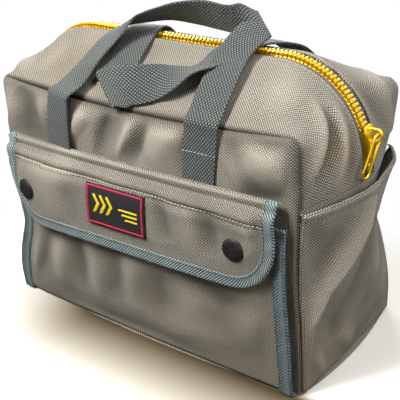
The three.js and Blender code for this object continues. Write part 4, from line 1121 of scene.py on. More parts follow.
# Label: a cloth patch with a red edging, three chevrons and three short bars, a plain decoration.
labelLook = {
    "x": -7.5, "z": 124.0, "width": 57.0, "height": 33.0, "thickness": 1.9, "lift": 0.8,
    "edging": 1.6, "edgingInset": 1.6, "raise": 0.35, "threadThickness": 0.5, "step": 1.5,
    "chevron": (3.0, 15.0), "chevronPoint": 4.5, "chevronAt": (-18.0, 1.5), "chevronStep": 6.5,
    # each bar is shorter than the one above it, and further right
    "bar": (18.0, 1.7), "barAt": (13.5, 1.5), "barStep": (1.5, -3.6), "barShorter": 3.0,
}


def labelPatch(name, centre, size, raised, thickness, material, outline=None):
    def surface(u, v):
        a, b = mix(-0.5, 0.5, u), mix(-0.5, 0.5, v)
        x = labelLook["x"] + centre[0] + a * size[0] + (outline(b) if outline else 0)
        z = labelLook["z"] + centre[1] + b * size[1]
        return onFront(x, z, flapStand(x, z) + labelLook["lift"] + labelLook["thickness"] + raised)

    def relief(p, edges):
        return rollIn(np.min(list(edges.values()), axis=0), min(0.6, thickness)) * 0.7

    steps = [max(4, int(s / labelLook["step"])) for s in size]
    patch = makeSheet(name, surface, steps, thickness, (0, -1, 0), material, relief)
    return fasten(patch, "flap", "label")


def embroider(name, centre, size, thread, outline=None):
    labelPatch(name, centre, size, labelLook["raise"], labelLook["threadThickness"], threads[thread], outline)


def chevronOutline(b):
    return labelLook["chevronPoint"] * (0.5 - abs(b) * 2)


def makeLabel():
    size = (labelLook["width"], labelLook["height"])
    patch = labelPatch("label_cloth", (0, 0), size, 0, labelLook["thickness"], threads["wovenLabel"])
    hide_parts("label_patch")
    edgeX, edgeZ = (labelLook[k] / 2 - labelLook["edgingInset"] for k in ("width", "height"))
    border = labelLook["edging"]
    for word, way in (("low", -1), ("high", 1)):
        embroider("label_edging_" + word, (0, way * edgeZ), (2 * edgeX + border, border), "redEdging")
    for word, way in (("left", -1), ("right", 1)):
        embroider("label_edging_" + word, (way * edgeX, 0), (border, 2 * edgeZ - border), "redEdging")
    x, z = labelLook["chevronAt"]
    barX, barZ = labelLook["barAt"]
    stepX, stepZ = labelLook["barStep"]
    width, height = labelLook["bar"]
    for k in range(3):
        embroider("label_chevron_%d" % k, (x + labelLook["chevronStep"] * k, z), labelLook["chevron"],
                  "yellowEmbroidery", chevronOutline)
        embroider("label_bar_%d" % k, (barX + stepX * k, barZ + stepZ * k),
                  (width - labelLook["barShorter"] * k, height), "yellowEmbroidery")


makeLabel()
print("label sewn")

# Snaps

# x and z of the caps' middle, and their profile in mm: the stem behind and the turned-in rim.
capLook = {
    "x": 101.0, "shift": -4.0, "z": 118.0, "radius": 8.8, "height": 2.8, "stem": 1.9, "stemDepth": 2.1,
    "rim": [(-0.5, 0.1), (-0.1, 0.35), (0, 0.7)],
}


def frontNormal(stand, x, z):
    across = (stand(np.array(x + 1.0), np.array(z)) - stand(np.array(x - 1.0), np.array(z))) / 2
    up = (stand(np.array(x), np.array(z + 1.0)) - stand(np.array(x), np.array(z - 1.0))) / 2
    return Vector((-float(across), -1, -float(up))).normalized()


def latheMesh(name, profile, segments, material):
    points, faces = [], []
    for i in range(segments):
        turn = 2 * math.pi * i / segments
        points += [(r * math.cos(turn), r * math.sin(turn), h) for r, h in profile[1:-1]]
    count = len(profile) - 2
    low, high = len(points), len(points) + 1
    points += [(0, 0, profile[0][1]), (0, 0, profile[-1][1])]
    for i in range(segments):
        k = (i + 1) % segments
        for j in range(count - 1):
            faces.append((i * count + j, k * count + j, k * count + j + 1, i * count + j + 1))
        faces.append((low, k * count, i * count))
        faces.append((high, i * count + count - 1, k * count + count - 1))
    return finishMesh(name, points, faces, np.array(points)[:, :2] * mm, material, 35)


def snapCap(word, side):
    x, z = side * capLook["x"] + capLook["shift"], capLook["z"]
    radius, height, stem = capLook["radius"], capLook["height"], capLook["stem"]
    profile = [(0, -capLook["stemDepth"]), (stem, -capLook["stemDepth"]), (stem, capLook["rim"][0][1])]
    profile += [(radius + out, up) for out, up in capLook["rim"]]
    edge = capLook["rim"][-1][1]
    for k in range(1, 9):
        turn = quarter * k / 9
        profile.append((radius * math.cos(turn) ** 0.8, edge + (height - edge) * math.sin(turn)))
    cap = latheMesh("snap_cap_" + word + "_dome", profile + [(0, height)], 48, blackSnap)
    place = Vector((x, -halfDepth - float(flapStand(np.array(x), np.array(z))), z)) * mm
    turn = Vector((0, 0, 1)).rotation_difference(frontNormal(flapStand, x, z)).to_matrix().to_4x4()
    cap.data.transform(Matrix.Translation(place) @ turn)
    fasten(cap, "flap", "snap_black", "snap_cap_" + word)


def paintNodes(starts, material):
    for name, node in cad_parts.items():
        if name.startswith(starts):
            node.data.materials.clear()
            node.data.materials.append(material)


snapCap("left", -1)
snapCap("right", 1)
paintNodes(("snap_socket", "snap_stud", "snap_post", "zip_top_stop", "zip_bottom_stop"), brass)
paintNodes("bottom_board", board)
print("snaps set")

# Base

# How far its edge bows out and reaches past the shell, and its section as rings of inset and height.
baseLook = {
    "bow": 6.0, "reach": 1.5, "corner": 8.0,
    "section": [(9, 1.3), (3, 1.35), (1.2, 1.2), (0.5, 0.9), (0.35, 0.6), (0.6, 0.25), (1.4, 0.02), (4, 0),
                (9, 0)],
}


def bend(a, b, c, n):
    t = np.linspace(0, 1, n, endpoint=False)[:, None]
    return (1 - t) ** 2 * np.array(a) + 2 * t * (1 - t) * np.array(b) + t * t * np.array(c)


def baseOutline(inset):
    x, y, r = halfLength + baseLook["reach"], halfDepth + baseLook["reach"], baseLook["corner"]
    bow, leftX = baseLook["bow"], -x - shell["leftFlare"]
    line = np.concatenate([
        bend((x - r, -y), (x, -y), (x, -y + r), 10),
        bend((x, -y + r), (x + 2 * bow, 0), (x, y - r), 40),
        bend((x, y - r), (x, y), (x - r, y), 10),
        bend((x - r, y), (0, y + 2 * bow), (-x + r, y), 70),
        bend((-x + r, y), (-x, y), (-x, y - r), 10),
        bend((-x, y - r), (mix(-x, leftX, 0.5) - 2 * bow, 0), (leftX, -y + r), 40),
        bend((leftX, -y + r), (leftX, -y), (leftX + r, -y), 10),
        bend((leftX + r, -y), (0, -y - 2 * bow), (x - r, -y), 70),
    ])
    ahead = unit(np.roll(line, -1, 0) - np.roll(line, 1, 0))
    return line - np.stack([ahead[:, 1], -ahead[:, 0]], -1) * inset


def baseSheet():
    section = baseLook["section"]
    rings = [np.insert(baseOutline(inset), 2, z, axis=1) for inset, z in section]
    count, last = len(rings[0]), (len(rings) - 1) * len(rings[0])
    points = np.concatenate(rings + [np.array([[0, 0, section[0][1]], [0, 0, section[-1][1]]])])
    top, under = len(points) - 2, len(points) - 1
    faces = []
    for r in range(len(rings) - 1):
        for i in range(count):
            k = (i + 1) % count
            faces.append((r * count + k, r * count + i, (r + 1) * count + i, (r + 1) * count + k))
    for i in range(count):
        k = (i + 1) % count
        faces.append((top, i, k))
        faces.append((under, last + k, last + i))
    return finishMesh("canvas_base", points, faces, points[:, :2] * mm, canvas)


fasten(baseSheet(), "bag", "canvas", "bottom_panel")
print("base sewn")

# Zip

# The nose is the narrow part of a tooth that crosses the chain's middle line.
zipLook = {
    "pitch": 3.4, "rowWidth": 2.9, "depth": 2.8, "rowGap": 1.5, "tapeWidth": 12.0, "tapeThickness": 0.8,
    "tapeSteps": (220, 6), "teethFromEnd": 9.0, "toothLength": 2.0, "toothInner": 0.95,
    "noseCross": 0.55, "noseOuter": 1.2, "noseLength": 1.5, "noseDrop": 1.0, "toothBevel": 0.38,
}
tapeTop = -canvasThickness - gap
toothTop = tapeTop + gap + zipLook["depth"]
teethRun = zipRun - zipLook["teethFromEnd"]


# A place at distance d along the zip line from its middle, to the right if positive, at y and raised by lift.
def zipPoint(d, y, lift):
    d, y, lift = np.broadcast_arrays(np.asarray(d, float), y, lift)
    side = np.where(d < 0, -1, 1)
    run = np.abs(d)
    turn = (run - bendX) / bendRadius
    reach = bendRadius + lift
    z = bendZ - (run - bendX - bendRadius * quarter)
    parts = [run <= bendX, turn <= quarter]
    below = side * (endReach(zipHalf, np.minimum(z, bendZ)) + lift)
    x = np.select(parts, [d, side * (bendX + reach * np.sin(turn))], below)
    height = np.select(parts, [crownHeight + lift, bendZ + reach * np.cos(turn)], z)
    return np.stack([x, y, height], -1)


for side, word in ((-1, "front"), (1, "rear")):
    def tapeSurface(u, v, side=side):
        near, far = wAt(side * (zipLook["rowGap"] / 2 + gap)), wAt(side * zipLook["tapeWidth"])
        return gussetPoint(mix(zipFoot, 6 - zipFoot, u), mix(near, far, v))

    def tapeDrop(p, edges):
        return tapeTop + 0 * edges["low"]

    tape = makeSheet("zip_cloth_" + word, tapeSurface, zipLook["tapeSteps"], zipLook["tapeThickness"],
                     (0, 0, 1), zipCloth, tapeDrop)
    fasten(tape, "bag", "zip_tape", "zip_tape_" + word)


def polyCurve(name, lines):
    data = bpy.data.curves.new(name, "CURVE")
    data.dimensions = "3D"
    for points in lines:
        spline = data.splines.new("POLY")
        spline.points.add(len(points) - 1)
        flat = np.concatenate([np.asarray(points) * mm, np.ones((len(points), 1))], 1)
        spline.points.foreach_set("co", flat.astype(np.float32).ravel())
    return linkObject(name, data)


# Sets a small piece at even distances along each line, turned to follow it.
def rowTree(name, pivot):
    tree = bpy.data.node_groups.new(name, "GeometryNodeTree")
    given = {"Lines": "Geometry", "Spacing": "Float", "Piece": "Object", "Finish": "Material"}
    for label, kind in given.items():
        tree.interface.new_socket(label, in_out="INPUT", socket_type="NodeSocket" + kind)
    tree.interface.new_socket("Mesh", in_out="OUTPUT", socket_type="NodeSocketGeometry")
    lines, spacing, piece, finish = addNode(tree, "NodeGroupInput", out=None)[:4]
    even = addNode(tree, "GeometryNodeResampleCurve", settings={"mode": "LENGTH"}, Curve=lines,
                   Length=spacing)
    turn = addNode(tree, "FunctionNodeAlignEulerToVector", settings={"axis": "X", "pivot_axis": pivot},
                   Vector=addNode(tree, "GeometryNodeInputTangent"))
    small = addNode(tree, "GeometryNodeObjectInfo", Object=piece, out="Geometry")
    placed = addNode(tree, "GeometryNodeInstanceOnPoints", Points=even, Instance=small, Rotation=turn)
    solid = addNode(tree, "GeometryNodeRealizeInstances", placed)
    painted = addNode(tree, "GeometryNodeSetMaterial", Geometry=solid, Material=finish)
    addNode(tree, "NodeGroupOutput", painted)
    return tree


# Runs the tree on the lines and keeps the result as one plain mesh.
def makeRow(name, lines, tree, spacing, piece, finish):
    carrier = polyCurve(name + "_lines", lines)
    modifier = carrier.modifiers.new("rows", "NODES")
    modifier.node_group = tree
    sockets = {s.name: s.identifier for s in tree.interface.items_tree if s.in_out == "INPUT"}
    modifier[sockets["Spacing"]] = spacing * mm
    modifier[sockets["Piece"]] = piece
    modifier[sockets["Finish"]] = finish
    bpy.context.view_layer.update()
    shown = carrier.evaluated_get(bpy.context.evaluated_depsgraph_get())
    mesh = bpy.data.meshes.new_from_object(shown)
    mesh.name = name
    bpy.data.objects.remove(carrier)
    return linkObject(name, mesh)


def templateMesh(name, points, faces, material):
    obj = finishMesh(name, points, faces, np.zeros((len(points), 2)), material, 40)
    obj.hide_render = True
    return obj


# One tooth: a block on its own side of the chain and a lower, narrower nose that crosses the middle line.
def toothTemplate(side):
    points, faces = [], []
    body = (zipLook["toothInner"], zipLook["rowGap"] / 2 + zipLook["rowWidth"], zipLook["toothLength"], 0.0)
    nose = (-zipLook["noseCross"], zipLook["noseOuter"], zipLook["noseLength"], zipLook["noseDrop"])
    for inner, outer, length, drop in (body, nose):
        bm = bmesh.new()
        bmesh.ops.create_cube(bm, size=1)
        for vert in bm.verts:
            vert.co.x *= length
            vert.co.y = side * (inner if vert.co.y < 0 else outer)
            vert.co.z = toothTop - drop if vert.co.z > 0 else toothTop - zipLook["depth"]
        bmesh.ops.bevel(bm, geom=bm.edges[:], offset=zipLook["toothBevel"], segments=1, affect="EDGES",
                        profile=0.6)
        bmesh.ops.recalc_face_normals(bm, faces=bm.faces[:])
        bm.verts.index_update()
        faces += [[v.index + len(points) for v in f.verts] for f in bm.faces]
        points += [tuple(v.co) for v in bm.verts]
        bm.free()
    return templateMesh("tooth", points, faces, brass)


alongZip = rowTree("alongZip", "Y")
for side, word, start in ((-1, "front", 0.0), (1, "rear", 0.5)):
    tooth = toothTemplate(side)
    d = np.arange(-teethRun + start * zipLook["pitch"], teethRun, zipLook["pitch"] / 4)
    teeth = makeRow("zip_chain_" + word, [zipPoint(d, 0, 0)], alongZip, zipLook["pitch"], tooth, brass)
    bpy.data.objects.remove(tooth)
    fasten(teeth, "bag", "brass", "zip_teeth_" + word)
print("zip chain made")

# Slider: a shield-shaped plate over the chain, its lower plate, side walls, the bail and the ring.
sliderLook = {
    "angle": 11.0, "length": 24.0, "plate": 1.8, "plateShown": 1.15, "plateSteps": (36, 20), "crown": 0.5,
    "play": 0.5, "wallHalf": 4.7, "wall": 0.75, "wallFrom": 0.12, "wallTo": 0.9,
    # half width along the slider: a broad crowned head, a waist and a blunt point
    "shieldAt": [0, 0.06, 0.2, 0.4, 0.62, 0.82, 0.94, 1],
    "shieldHalf": [3.4, 5.3, 6.0, 5.3, 4.9, 5.2, 4.2, 2.6],
}
bailLook = {"shift": 5.0, "length": 12.0, "rise": 9.4, "bar": 1.6, "width": 2.4, "steps": 24, "sink": 0.3}
pullLook = {
    "length": 34.0, "width": 11.8, "bar": 2.0, "thickness": 1.8, "play": 0.6, "lean": 7.0, "tilt": 24.0,
    "topHeight": 0.55, "bulge": 0.5,
}
sliderTurn = math.radians(sliderLook["angle"])
sliderRun = bendX + bendRadius * (quarter - sliderTurn)
plateLift = toothTop + sliderLook["play"] + sliderLook["plate"]
bailTurn = sliderTurn + bailLook["shift"] / (bendRadius + plateLift)


def shieldHalf(t):
    return np.interp(t, sliderLook["shieldAt"], sliderLook["shieldHalf"])


def sliderPlate(name, lift, thickness, crown):
    def surface(u, v):
        across = mix(-1, 1, v)
        rise = crown * (1 - across ** 2) * np.sin(math.pi * np.clip(u, 0.02, 0.98)) ** 0.5
        return zipPoint(sliderRun + (u - 0.5) * sliderLook["length"], across * shieldHalf(u), lift + rise)

    def relief(p, edges):
        return rollIn(np.min(list(edges.values()), axis=0), 0.8)
    return makeSheet(name, surface, sliderLook["plateSteps"], thickness, (1, 0, 0), brass, relief)


def sliderWall(side):
    def surface(u, v):
        t = mix(sliderLook["wallFrom"], sliderLook["wallTo"], u)
        y = side * np.maximum(shieldHalf(t) - 0.15, sliderLook["wallHalf"])
        lift = mix(tapeTop + gap, plateLift - 0.6, v)
        return zipPoint(sliderRun + (t - 0.5) * sliderLook["length"], y, lift)
    return makeSheet("slider_wall_%d" % side, surface, (24, 4), sliderLook["wall"], (0, side, 0), brass)


def joinObjects(name, objects):
    bm = bmesh.new()
    material = objects[0].data.materials[0]
    for obj in objects:
        bm.from_mesh(obj.data)
        bpy.data.objects.remove(obj)
    mesh = bpy.data.meshes.new(name)
    bm.to_mesh(mesh)
    bm.free()
    mesh.materials.append(material)
    return linkObject(name, mesh)


sliderTop = sliderPlate("slider_top", plateLift, sliderLook["plateShown"], sliderLook["crown"])
underLift = tapeTop - zipLook["tapeThickness"] - 2 * gap
sliderUnder = sliderPlate("slider_under", underLift, sliderLook["plate"], 0)
slider = joinObjects("slider_body", [sliderTop, sliderUnder, sliderWall(-1), sliderWall(1)])
fasten(slider, "slider", "brass", "zip_slider")


# A bar of oval section along a path: `up` is the direction of the section's second size.
def barMesh(name, path, ups, sizes, material, closed=False, sides=12):
    path, ups = np.asarray(path, float), np.asarray(ups, float)
    count = len(path)
    if closed:
        ahead = unit(np.roll(path, -1, 0) - np.roll(path, 1, 0))
    else:
        ahead = unit(np.gradient(path, axis=0))
    ups = unit(ups - (ups * ahead).sum(1, keepdims=True) * ahead)
    across = np.cross(ahead, ups)
    points = []
    for i in range(count):
        for k in range(sides):
            turn = 2 * math.pi * k / sides
            c, s = math.cos(turn), math.sin(turn)
            squareC = math.copysign(abs(c) ** 0.75, c) * sizes[i][0] / 2
            squareS = math.copysign(abs(s) ** 0.75, s) * sizes[i][1] / 2
            points.append(path[i] + across[i] * squareC + ups[i] * squareS)
    obj = finishMesh(name, points, tubeFaces(count, sides, closed), np.zeros((len(points), 2)), material, 60)
    return turnFacesOut(obj)


def bailPlace(along, lift):
    reach = bendRadius + lift
    turn = bailTurn - along / (bendRadius + plateLift)
    return [bendX + reach * math.cos(turn), 0, bendZ + reach * math.sin(turn)]


def makeBail():
    half = (bailLook["length"] - bailLook["bar"]) / 2
    path = []
    for k in range(bailLook["steps"] + 1):
        t = -1 + 2 * k / bailLook["steps"]
        rise = (1 - abs(t) ** 3.2) * (bailLook["rise"] - bailLook["bar"] / 2)
        path.append(bailPlace(t * half, plateLift - bailLook["sink"] + rise))
    sizes = [(bailLook["bar"], bailLook["width"])] * len(path)
    return barMesh("slider_bail_arch", path, [(0, 1, 0)] * len(path), sizes, brass)


# The ring hangs from its pivot under the bail's arch: a flat arch at the top, nearly straight sides, a half
# circle at the bottom.
def pullRing():
    bar = pullLook["bar"]
    half = (pullLook["width"] - bar) / 2
    high = half * pullLook["topHeight"]
    low = bar - pullLook["length"] + half
    line = []
    for k in range(12):
        a = math.pi * k / 12
        line.append((half * math.cos(a), high * math.sin(a) - high))
    for k in range(10):
        line.append((pullLook["bulge"] * math.sin(math.pi * k / 10) - half, mix(-high, low, k / 10)))
    for k in range(12):
        a = math.pi + math.pi * k / 12
        line.append((half * math.cos(a), low + half * math.sin(a)))
    for k in range(10):
        line.append((half - pullLook["bulge"] * math.sin(math.pi * k / 10), mix(low, -high, k / 10)))
    path = [(0, a, b) for a, b in line]
    sizes = [(bar, pullLook["thickness"])] * len(path)
    ring = barMesh("pull_ring", path, [(1, 0, 0)] * len(path), sizes, brass, closed=True)
    lift = plateLift + bailLook["rise"] - bailLook["bar"] - pullLook["play"] - bar / 2
    lean = Matrix.Rotation(math.radians(pullLook["lean"]), 4, "Y")
    tilt = Matrix.Rotation(-math.radians(pullLook["tilt"]), 4, "X")
    ring.data.transform(Matrix.Translation(Vector(bailPlace(0, lift)) * mm) @ tilt @ lean)
    return ring


fasten(makeBail(), "slider", "brass", "zip_slider_bail")
fasten(pullRing(), "pull", "brass", "zip_pull")
print("slider made")

# Handles

handleLook = {
    "width": 29.0, "thickness": 1.8, "spread": 67.0, "lean": 6.0, "twist": 15, "legBottom": 141.0,
    "legLevels": (141, 150, 160, 170, 180, 188, 195), "hingeHeight": 201.5, "hingeDepth": 70.4, "rise": 51.0,
    "stretch": 1.5, "stepsBetween": 10, "foldSteps": 7, "foldDepth": 1.1,
    # half of a section: share of the half width from the middle, each way
    "section": (0, 0.25, 0.5, 0.7, 0.9, 0.95, 0.985, 1),
}


# A place on a strap: its middle, and half of the strap across.
def station(x, y, z, acrossX, acrossY, acrossZ, stretch=1.0):
    middle = np.array([x * handleLook["spread"], y * handleLook["hingeDepth"],
                       handleLook["hingeHeight"] + z * handleLook["rise"]])
    half = unit(np.array([acrossX, acrossY, acrossZ], float)) * stretch * handleLook["width"] / 2
    return middle, half


# Smooth line through points, as a centripetal spline.
def splinePoint(points, t):
    place = t * (len(points) - 1)
    i = min(int(place), len(points) - 2)
    w = place - i
    p1, p2 = points[i], points[i + 1]
    p0 = points[i - 1] if i > 0 else 2 * p1 - p2
    p3 = points[i + 2] if i + 2 < len(points) else 2 * p2 - p1
    d0, d1, d2 = (max(np.linalg.norm(b - a), 1e-4) ** 0.5 for a, b in ((p0, p1), (p1, p2), (p2, p3)))
    t1 = ((p1 - p0) / d0 - (p2 - p0) / (d0 + d1) + (p2 - p1) / d1) * d1
    t2 = ((p2 - p1) / d1 - (p3 - p1) / (d1 + d2) + (p3 - p2) / d2) * d1
    return p1 + t1 * w + (3 * (p2 - p1) - 2 * t1 - t2) * w * w + (2 * (p1 - p2) + t1 + t2) * w ** 3


# Rings of middle, half across and face normal along a strap.
def strapRings(stations):
    middles, halves = zip(*stations)
    between = handleLook["stepsBetween"]
    steps = (len(stations) - 1) * between
    line = np.array([splinePoint(middles, i / steps) for i in range(steps + 1)])
    ahead = unit(np.gradient(line, axis=0))
    rings = []
    for i in range(steps + 1):
        k = min(i // between, len(stations) - 2)
        w = i / between - k
        a, b = halves[k], halves[k + 1]
        before = halves[k - 1] if k > 0 else a
        after = halves[k + 2] if k + 2 < len(halves) else b
        curve = w * (3 * (a - b) + after - before) + 2 * before - 5 * a + 4 * b - after
        half = unit(a + 0.5 * w * (b - before + w * curve)) * mix(np.linalg.norm(a), np.linalg.norm(b), w)
        rings.append([line[i], half, unit(np.cross(ahead[i], half))])
    return rings


# Carries a strap round its own fold, from the last ring of one run to the first of the next.
def foldRings(last, first, forward):
    rings = []
    for k in range(1, handleLook["foldSteps"]):
        turn = math.pi * k / handleLook["foldSteps"]
        out = forward * handleLook["foldDepth"] * math.sin(turn)
        half = unit(mix(last[1], first[1], k / handleLook["foldSteps"])) * np.linalg.norm(last[1])
        normal = unit(last[2] * math.cos(turn) + forward * math.sin(turn))
        rings.append([mix(last[0], first[0], (1 - math.cos(turn)) / 2) + out, half, normal])
    return rings


def strapMesh(name, rings, material):
    shares = [-a for a in handleLook["section"][:0:-1]] + list(handleLook["section"])
    profile = [(a, math.sqrt(max(0, 1 - max(0, (abs(a) - 0.9) / 0.1) ** 2))) for a in shares]
    section = profile + [(a, -f) for a, f in profile[-2:0:-1]]
    half = handleLook["thickness"] / 2
    points, uv, run = [], [], 0.0
    for i, (middle, across, normal) in enumerate(rings):
        if i:
            run += np.linalg.norm(middle - rings[i - 1][0])
        for a, f in section:
            points.append(middle + across * a + normal * half * f)
            uv.append((run * mm, a * handleLook["width"] / 2 * mm))
    return turnFacesOut(finishMesh(name, points, tubeFaces(len(rings), len(section)), uv, material, 70))


# Half of the strap across where it is turned by twist degrees, and how far that moves its middle.
def twisted(depthSide, twist):
    half, turn = handleLook["width"] / 2, math.radians(twist)
    return np.array([half * math.cos(turn), depthSide * half * math.sin(turn), 0]), half * math.sin(turn)


# The sewn leg under the hinge, from its lower end up to the hinge.
def legStations(side, stand, depthSide, lean=0.0, twist=0.0):
    stations = []
    for z in handleLook["legLevels"]:
        v = (z - handleLook["legBottom"]) / (handleLook["hingeHeight"] - handleLook["legBottom"])
        half, out = twisted(depthSide, twist * (0.35 + 0.65 * v))
        x = side * handleLook["spread"] - lean * (1 - v) - (handleLook["width"] / 2 - half[0])
        lift = float(stand(np.array(x), np.array(float(z)))) + gap + handleLook["thickness"] / 2 + out
        stations.append((np.array([x, depthSide * (halfDepth + lift), z]), half))
    half, out = twisted(depthSide, twist)
    y = depthSide * (handleLook["hingeDepth"] + out)
    return stations + [(np.array([side * handleLook["spread"], y, handleLook["hingeHeight"]]), half)]


frontBar = [
    station(-0.933, -0.902, 0.108, 0.99, -0.1, 0.1),
    station(-0.858, -0.649, 0.367, 0.95, -0.17, 0.25),
    station(-0.746, -0.369, 0.667, 0.94, -0.17, 0.27),
    station(-0.612, -0.227, 0.85, 0.82, -0.39, 0.42),
    station(-0.45, -0.152, 0.91, 0.58, -0.66, 0.48),
    station(-0.248, -0.071, 0.96, 0.16, -0.84, 0.5),
    station(0.03, 0.021, 0.99, 0, -0.68, 0.73),
    station(0.328, 0.078, 0.985, 0, -0.5, 0.87),
    station(0.687, 0.045, 0.965, 0, -0.45, 0.89),
    station(1.06, 0.057, 0.975, -0.75, 0.53, 0.4),
]
frontLeg = [
    station(0.985, -0.881, 0.118, 1, 0, 0),
    station(0.963, -0.682, 0.343, 1, 0, 0),
    station(0.933, -0.483, 0.529, 1, 0, 0),
    station(0.91, -0.298, 0.663, 1, -0.1, -0.07),
    station(0.955, -0.114, 0.827, 0.93, -0.25, -0.2),
    station(1.06, 0.057, 0.975, 0.75, -0.53, -0.4),
]
frontUp = legStations(-1, frontStand, -1, handleLook["lean"], handleLook["twist"]) + frontBar
frontDown = legStations(1, frontStand, -1, handleLook["lean"]) + frontLeg
frontRings = strapRings(frontUp) + [[m, -h, n] for m, h, n in strapRings(frontDown)[::-1]]
frontHandle = strapMesh("webbing_front_handle", frontRings, webbing)
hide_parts("front_handle", "front_handle_leg_left", "front_handle_leg_right")
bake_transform(frontHandle)

rearLeg = [
    station(-0.97, 0.866, 0.127, 1, 0, 0),
    station(-0.896, 0.625, 0.343, 0.98, 0.15, -0.05),
    station(-0.701, 0.256, 0.608, 0.9, 0.4, -0.1),
    station(-0.567, 0.014, 0.696, 0.97, 0.25, 0),
    station(-0.515, -0.199, 0.618, 1, 0.1, 0),
    station(-0.47, -0.398, 0.49, 1, 0, 0),
    station(-0.43, -0.611, 0.31, 0.96, -0.22, -0.17),
    station(-0.433, -0.859, 0.108, 0.8, -0.48, -0.36, handleLook["stretch"]),
]
rearBar = [
    station(-0.433, -0.874, 0.127, 0.8, -0.48, -0.36, handleLook["stretch"]),
    station(-0.05, -0.86, 0.24, 0.28, -0.35, -0.89),
    station(0.204, -0.747, 0.3, 0.445, -0.539, -0.709),
    station(0.388, -0.646, 0.37, 0.61, -0.74, -0.25),
    station(0.552, -0.526, 0.46, 0.63, -0.76, 0.145),
    station(0.716, -0.312, 0.57, 0.85, -0.5, 0),
    station(0.836, -0.043, 0.688, 0.97, -0.2, 0),
    station(0.925, 0.256, 0.641, 1, -0.1, 0),
    station(0.985, 0.597, 0.461, 1, 0, 0),
    station(1, 0.852, 0.186, 1, 0, 0),
]
rearUp = strapRings(legStations(-1, rearStand, 1) + rearLeg)
rearDown = strapRings(rearBar + legStations(1, rearStand, 1)[::-1])
crease = foldRings(rearUp[-1], rearDown[0], unit(np.array([-0.45, -0.75, -0.2])))
rearHandle = strapMesh("webbing_rear_handle", rearUp + crease + rearDown, webbing)
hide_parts("rear_handle", "rear_handle_leg_left", "rear_handle_leg_right")
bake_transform(rearHandle)
print("handles sewn")

# Stitches

stitchLook = {"length": 2.3, "spacing": 3.1, "thickness": 0.75, "lift": 0.12}


def stitchTemplate():
    sides, rings = 6, (-1, -0.8, 0, 0.8, 1)
    points = []
    for t in rings:
        r = stitchLook["thickness"] / 2 * math.sqrt(max(0.04, 1 - abs(t) ** 3))
        for k in range(sides):
            turn = 2 * math.pi * k / sides
            points.append((t * stitchLook["length"] / 2, r * math.cos(turn), r * math.sin(turn)))
    faces = [f[::-1] for f in tubeFaces(len(rings), sides)]
    return templateMesh("stitch", points, faces, threads["paleSewingThread"])


stitch = stitchTemplate()
alongSeam = rowTree("alongSeam", "AUTO")


# Sews along the lines with a thread. A row that crosses the flap's hinge is given the hinge's stretch as seam,
# and is then kept where it is instead of being fastened to a body.
def sewRow(name, lines, thread, body, slot, seam=None):
    row = makeRow(name, lines, alongSeam, stitchLook["spacing"], stitch, threads[thread])
    if seam:
        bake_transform(row)
    else:
        fasten(row, body, slot)


# A line along a sheet from one end to the other, or up it, as shares of its map.
def lineOn(name, start, end, count=120):
    t = np.linspace(0, 1, count)
    return onSheet(name, mix(start[0], end[0], t), mix(start[1], end[1], t), stitchLook["lift"])


# A line over the flap at a height that changes with x.
def flapLine(level, lift):
    outer, normals = sheets["canvas_flap"]
    points = []
    for i in range(4, outer.shape[0] - 4):
        j = int(np.argmin(np.abs(outer[i, :, 2] - level(outer[i, 0, 0]))))
        points.append(outer[i, j] + normals[i, j] * lift)
    return np.array(points)


# A line across the front of a handle's leg.
def legLine(side, z):
    v = (z - handleLook["legBottom"]) / (handleLook["hingeHeight"] - handleLook["legBottom"])
    x = side * handleLook["spread"] - handleLook["lean"] * (1 - v) + np.linspace(-13, 13, 30)
    y = -halfDepth - frontStand(x, z + 0 * x) - gap - handleLook["thickness"] - 0.1
    return np.stack([x, y, z + 0 * x], -1)


canvasLines = [lineOn("canvas_top_" + word, (0.01, 0.055), (0.99, 0.055), 500) for word in ("front", "rear")]
for word in ("left", "right"):
    canvasLines.append(lineOn("canvas_end_pocket_" + word, (0.04, 0.945), (0.96, 0.945)))
canvasLines.append(lineOn("canvas_rear_pocket", (0.02, 0.95), (0.98, 0.95)))
tapeLines = []
for word in ("front_left", "front_right", "rear_left", "rear_right"):
    tapeLines += [lineOn("tape_" + word, (u, 0.01), (u, 0.98)) for u in (0.14, 0.86)]
bindingLine = lineOn("tape_flap_binding", (0.004, 0.16), (0.996, 0.16), 500)
besideSeam = flapLine(lambda x: flapSeam(x) - 1.6, 0.1)
sewRow("stitches_canvas", canvasLines, "paleSewingThread", "bag", "canvas")
sewRow("stitches_flap_heading", [flapLine(flapSeam, 0.5)], "creamSewingThread", "flap", "canvas", hingeSeam)
sewRow("stitches_flap_shadow", [besideSeam], "darkSewingThread", "flap", "canvas", hingeSeam)
sewRow("stitches_pocket_tape", tapeLines, "darkSewingThread", "bag", "tape")
sewRow("stitches_binding", [bindingLine], "darkSewingThread", "flap", "tape", hingeSeam)
sewRow("stitches_handle", [legLine(-1, 180.0), legLine(1, 180.0)], "whiteSewingThread", "bag", "webbing")
bpy.data.objects.remove(stitch)
print("stitched")

# Camera, floor and light

# Place in mm, angles in degrees, focal length in pixels of the 400 pixel picture.
cameraLook = {
    "place": (401.7, -484.1, 415.8), "azimuth": 39.44, "elevation": 27.05, "roll": -4.26, "focal": 849.9,
    "picture": 400, "sensor": 36,
}


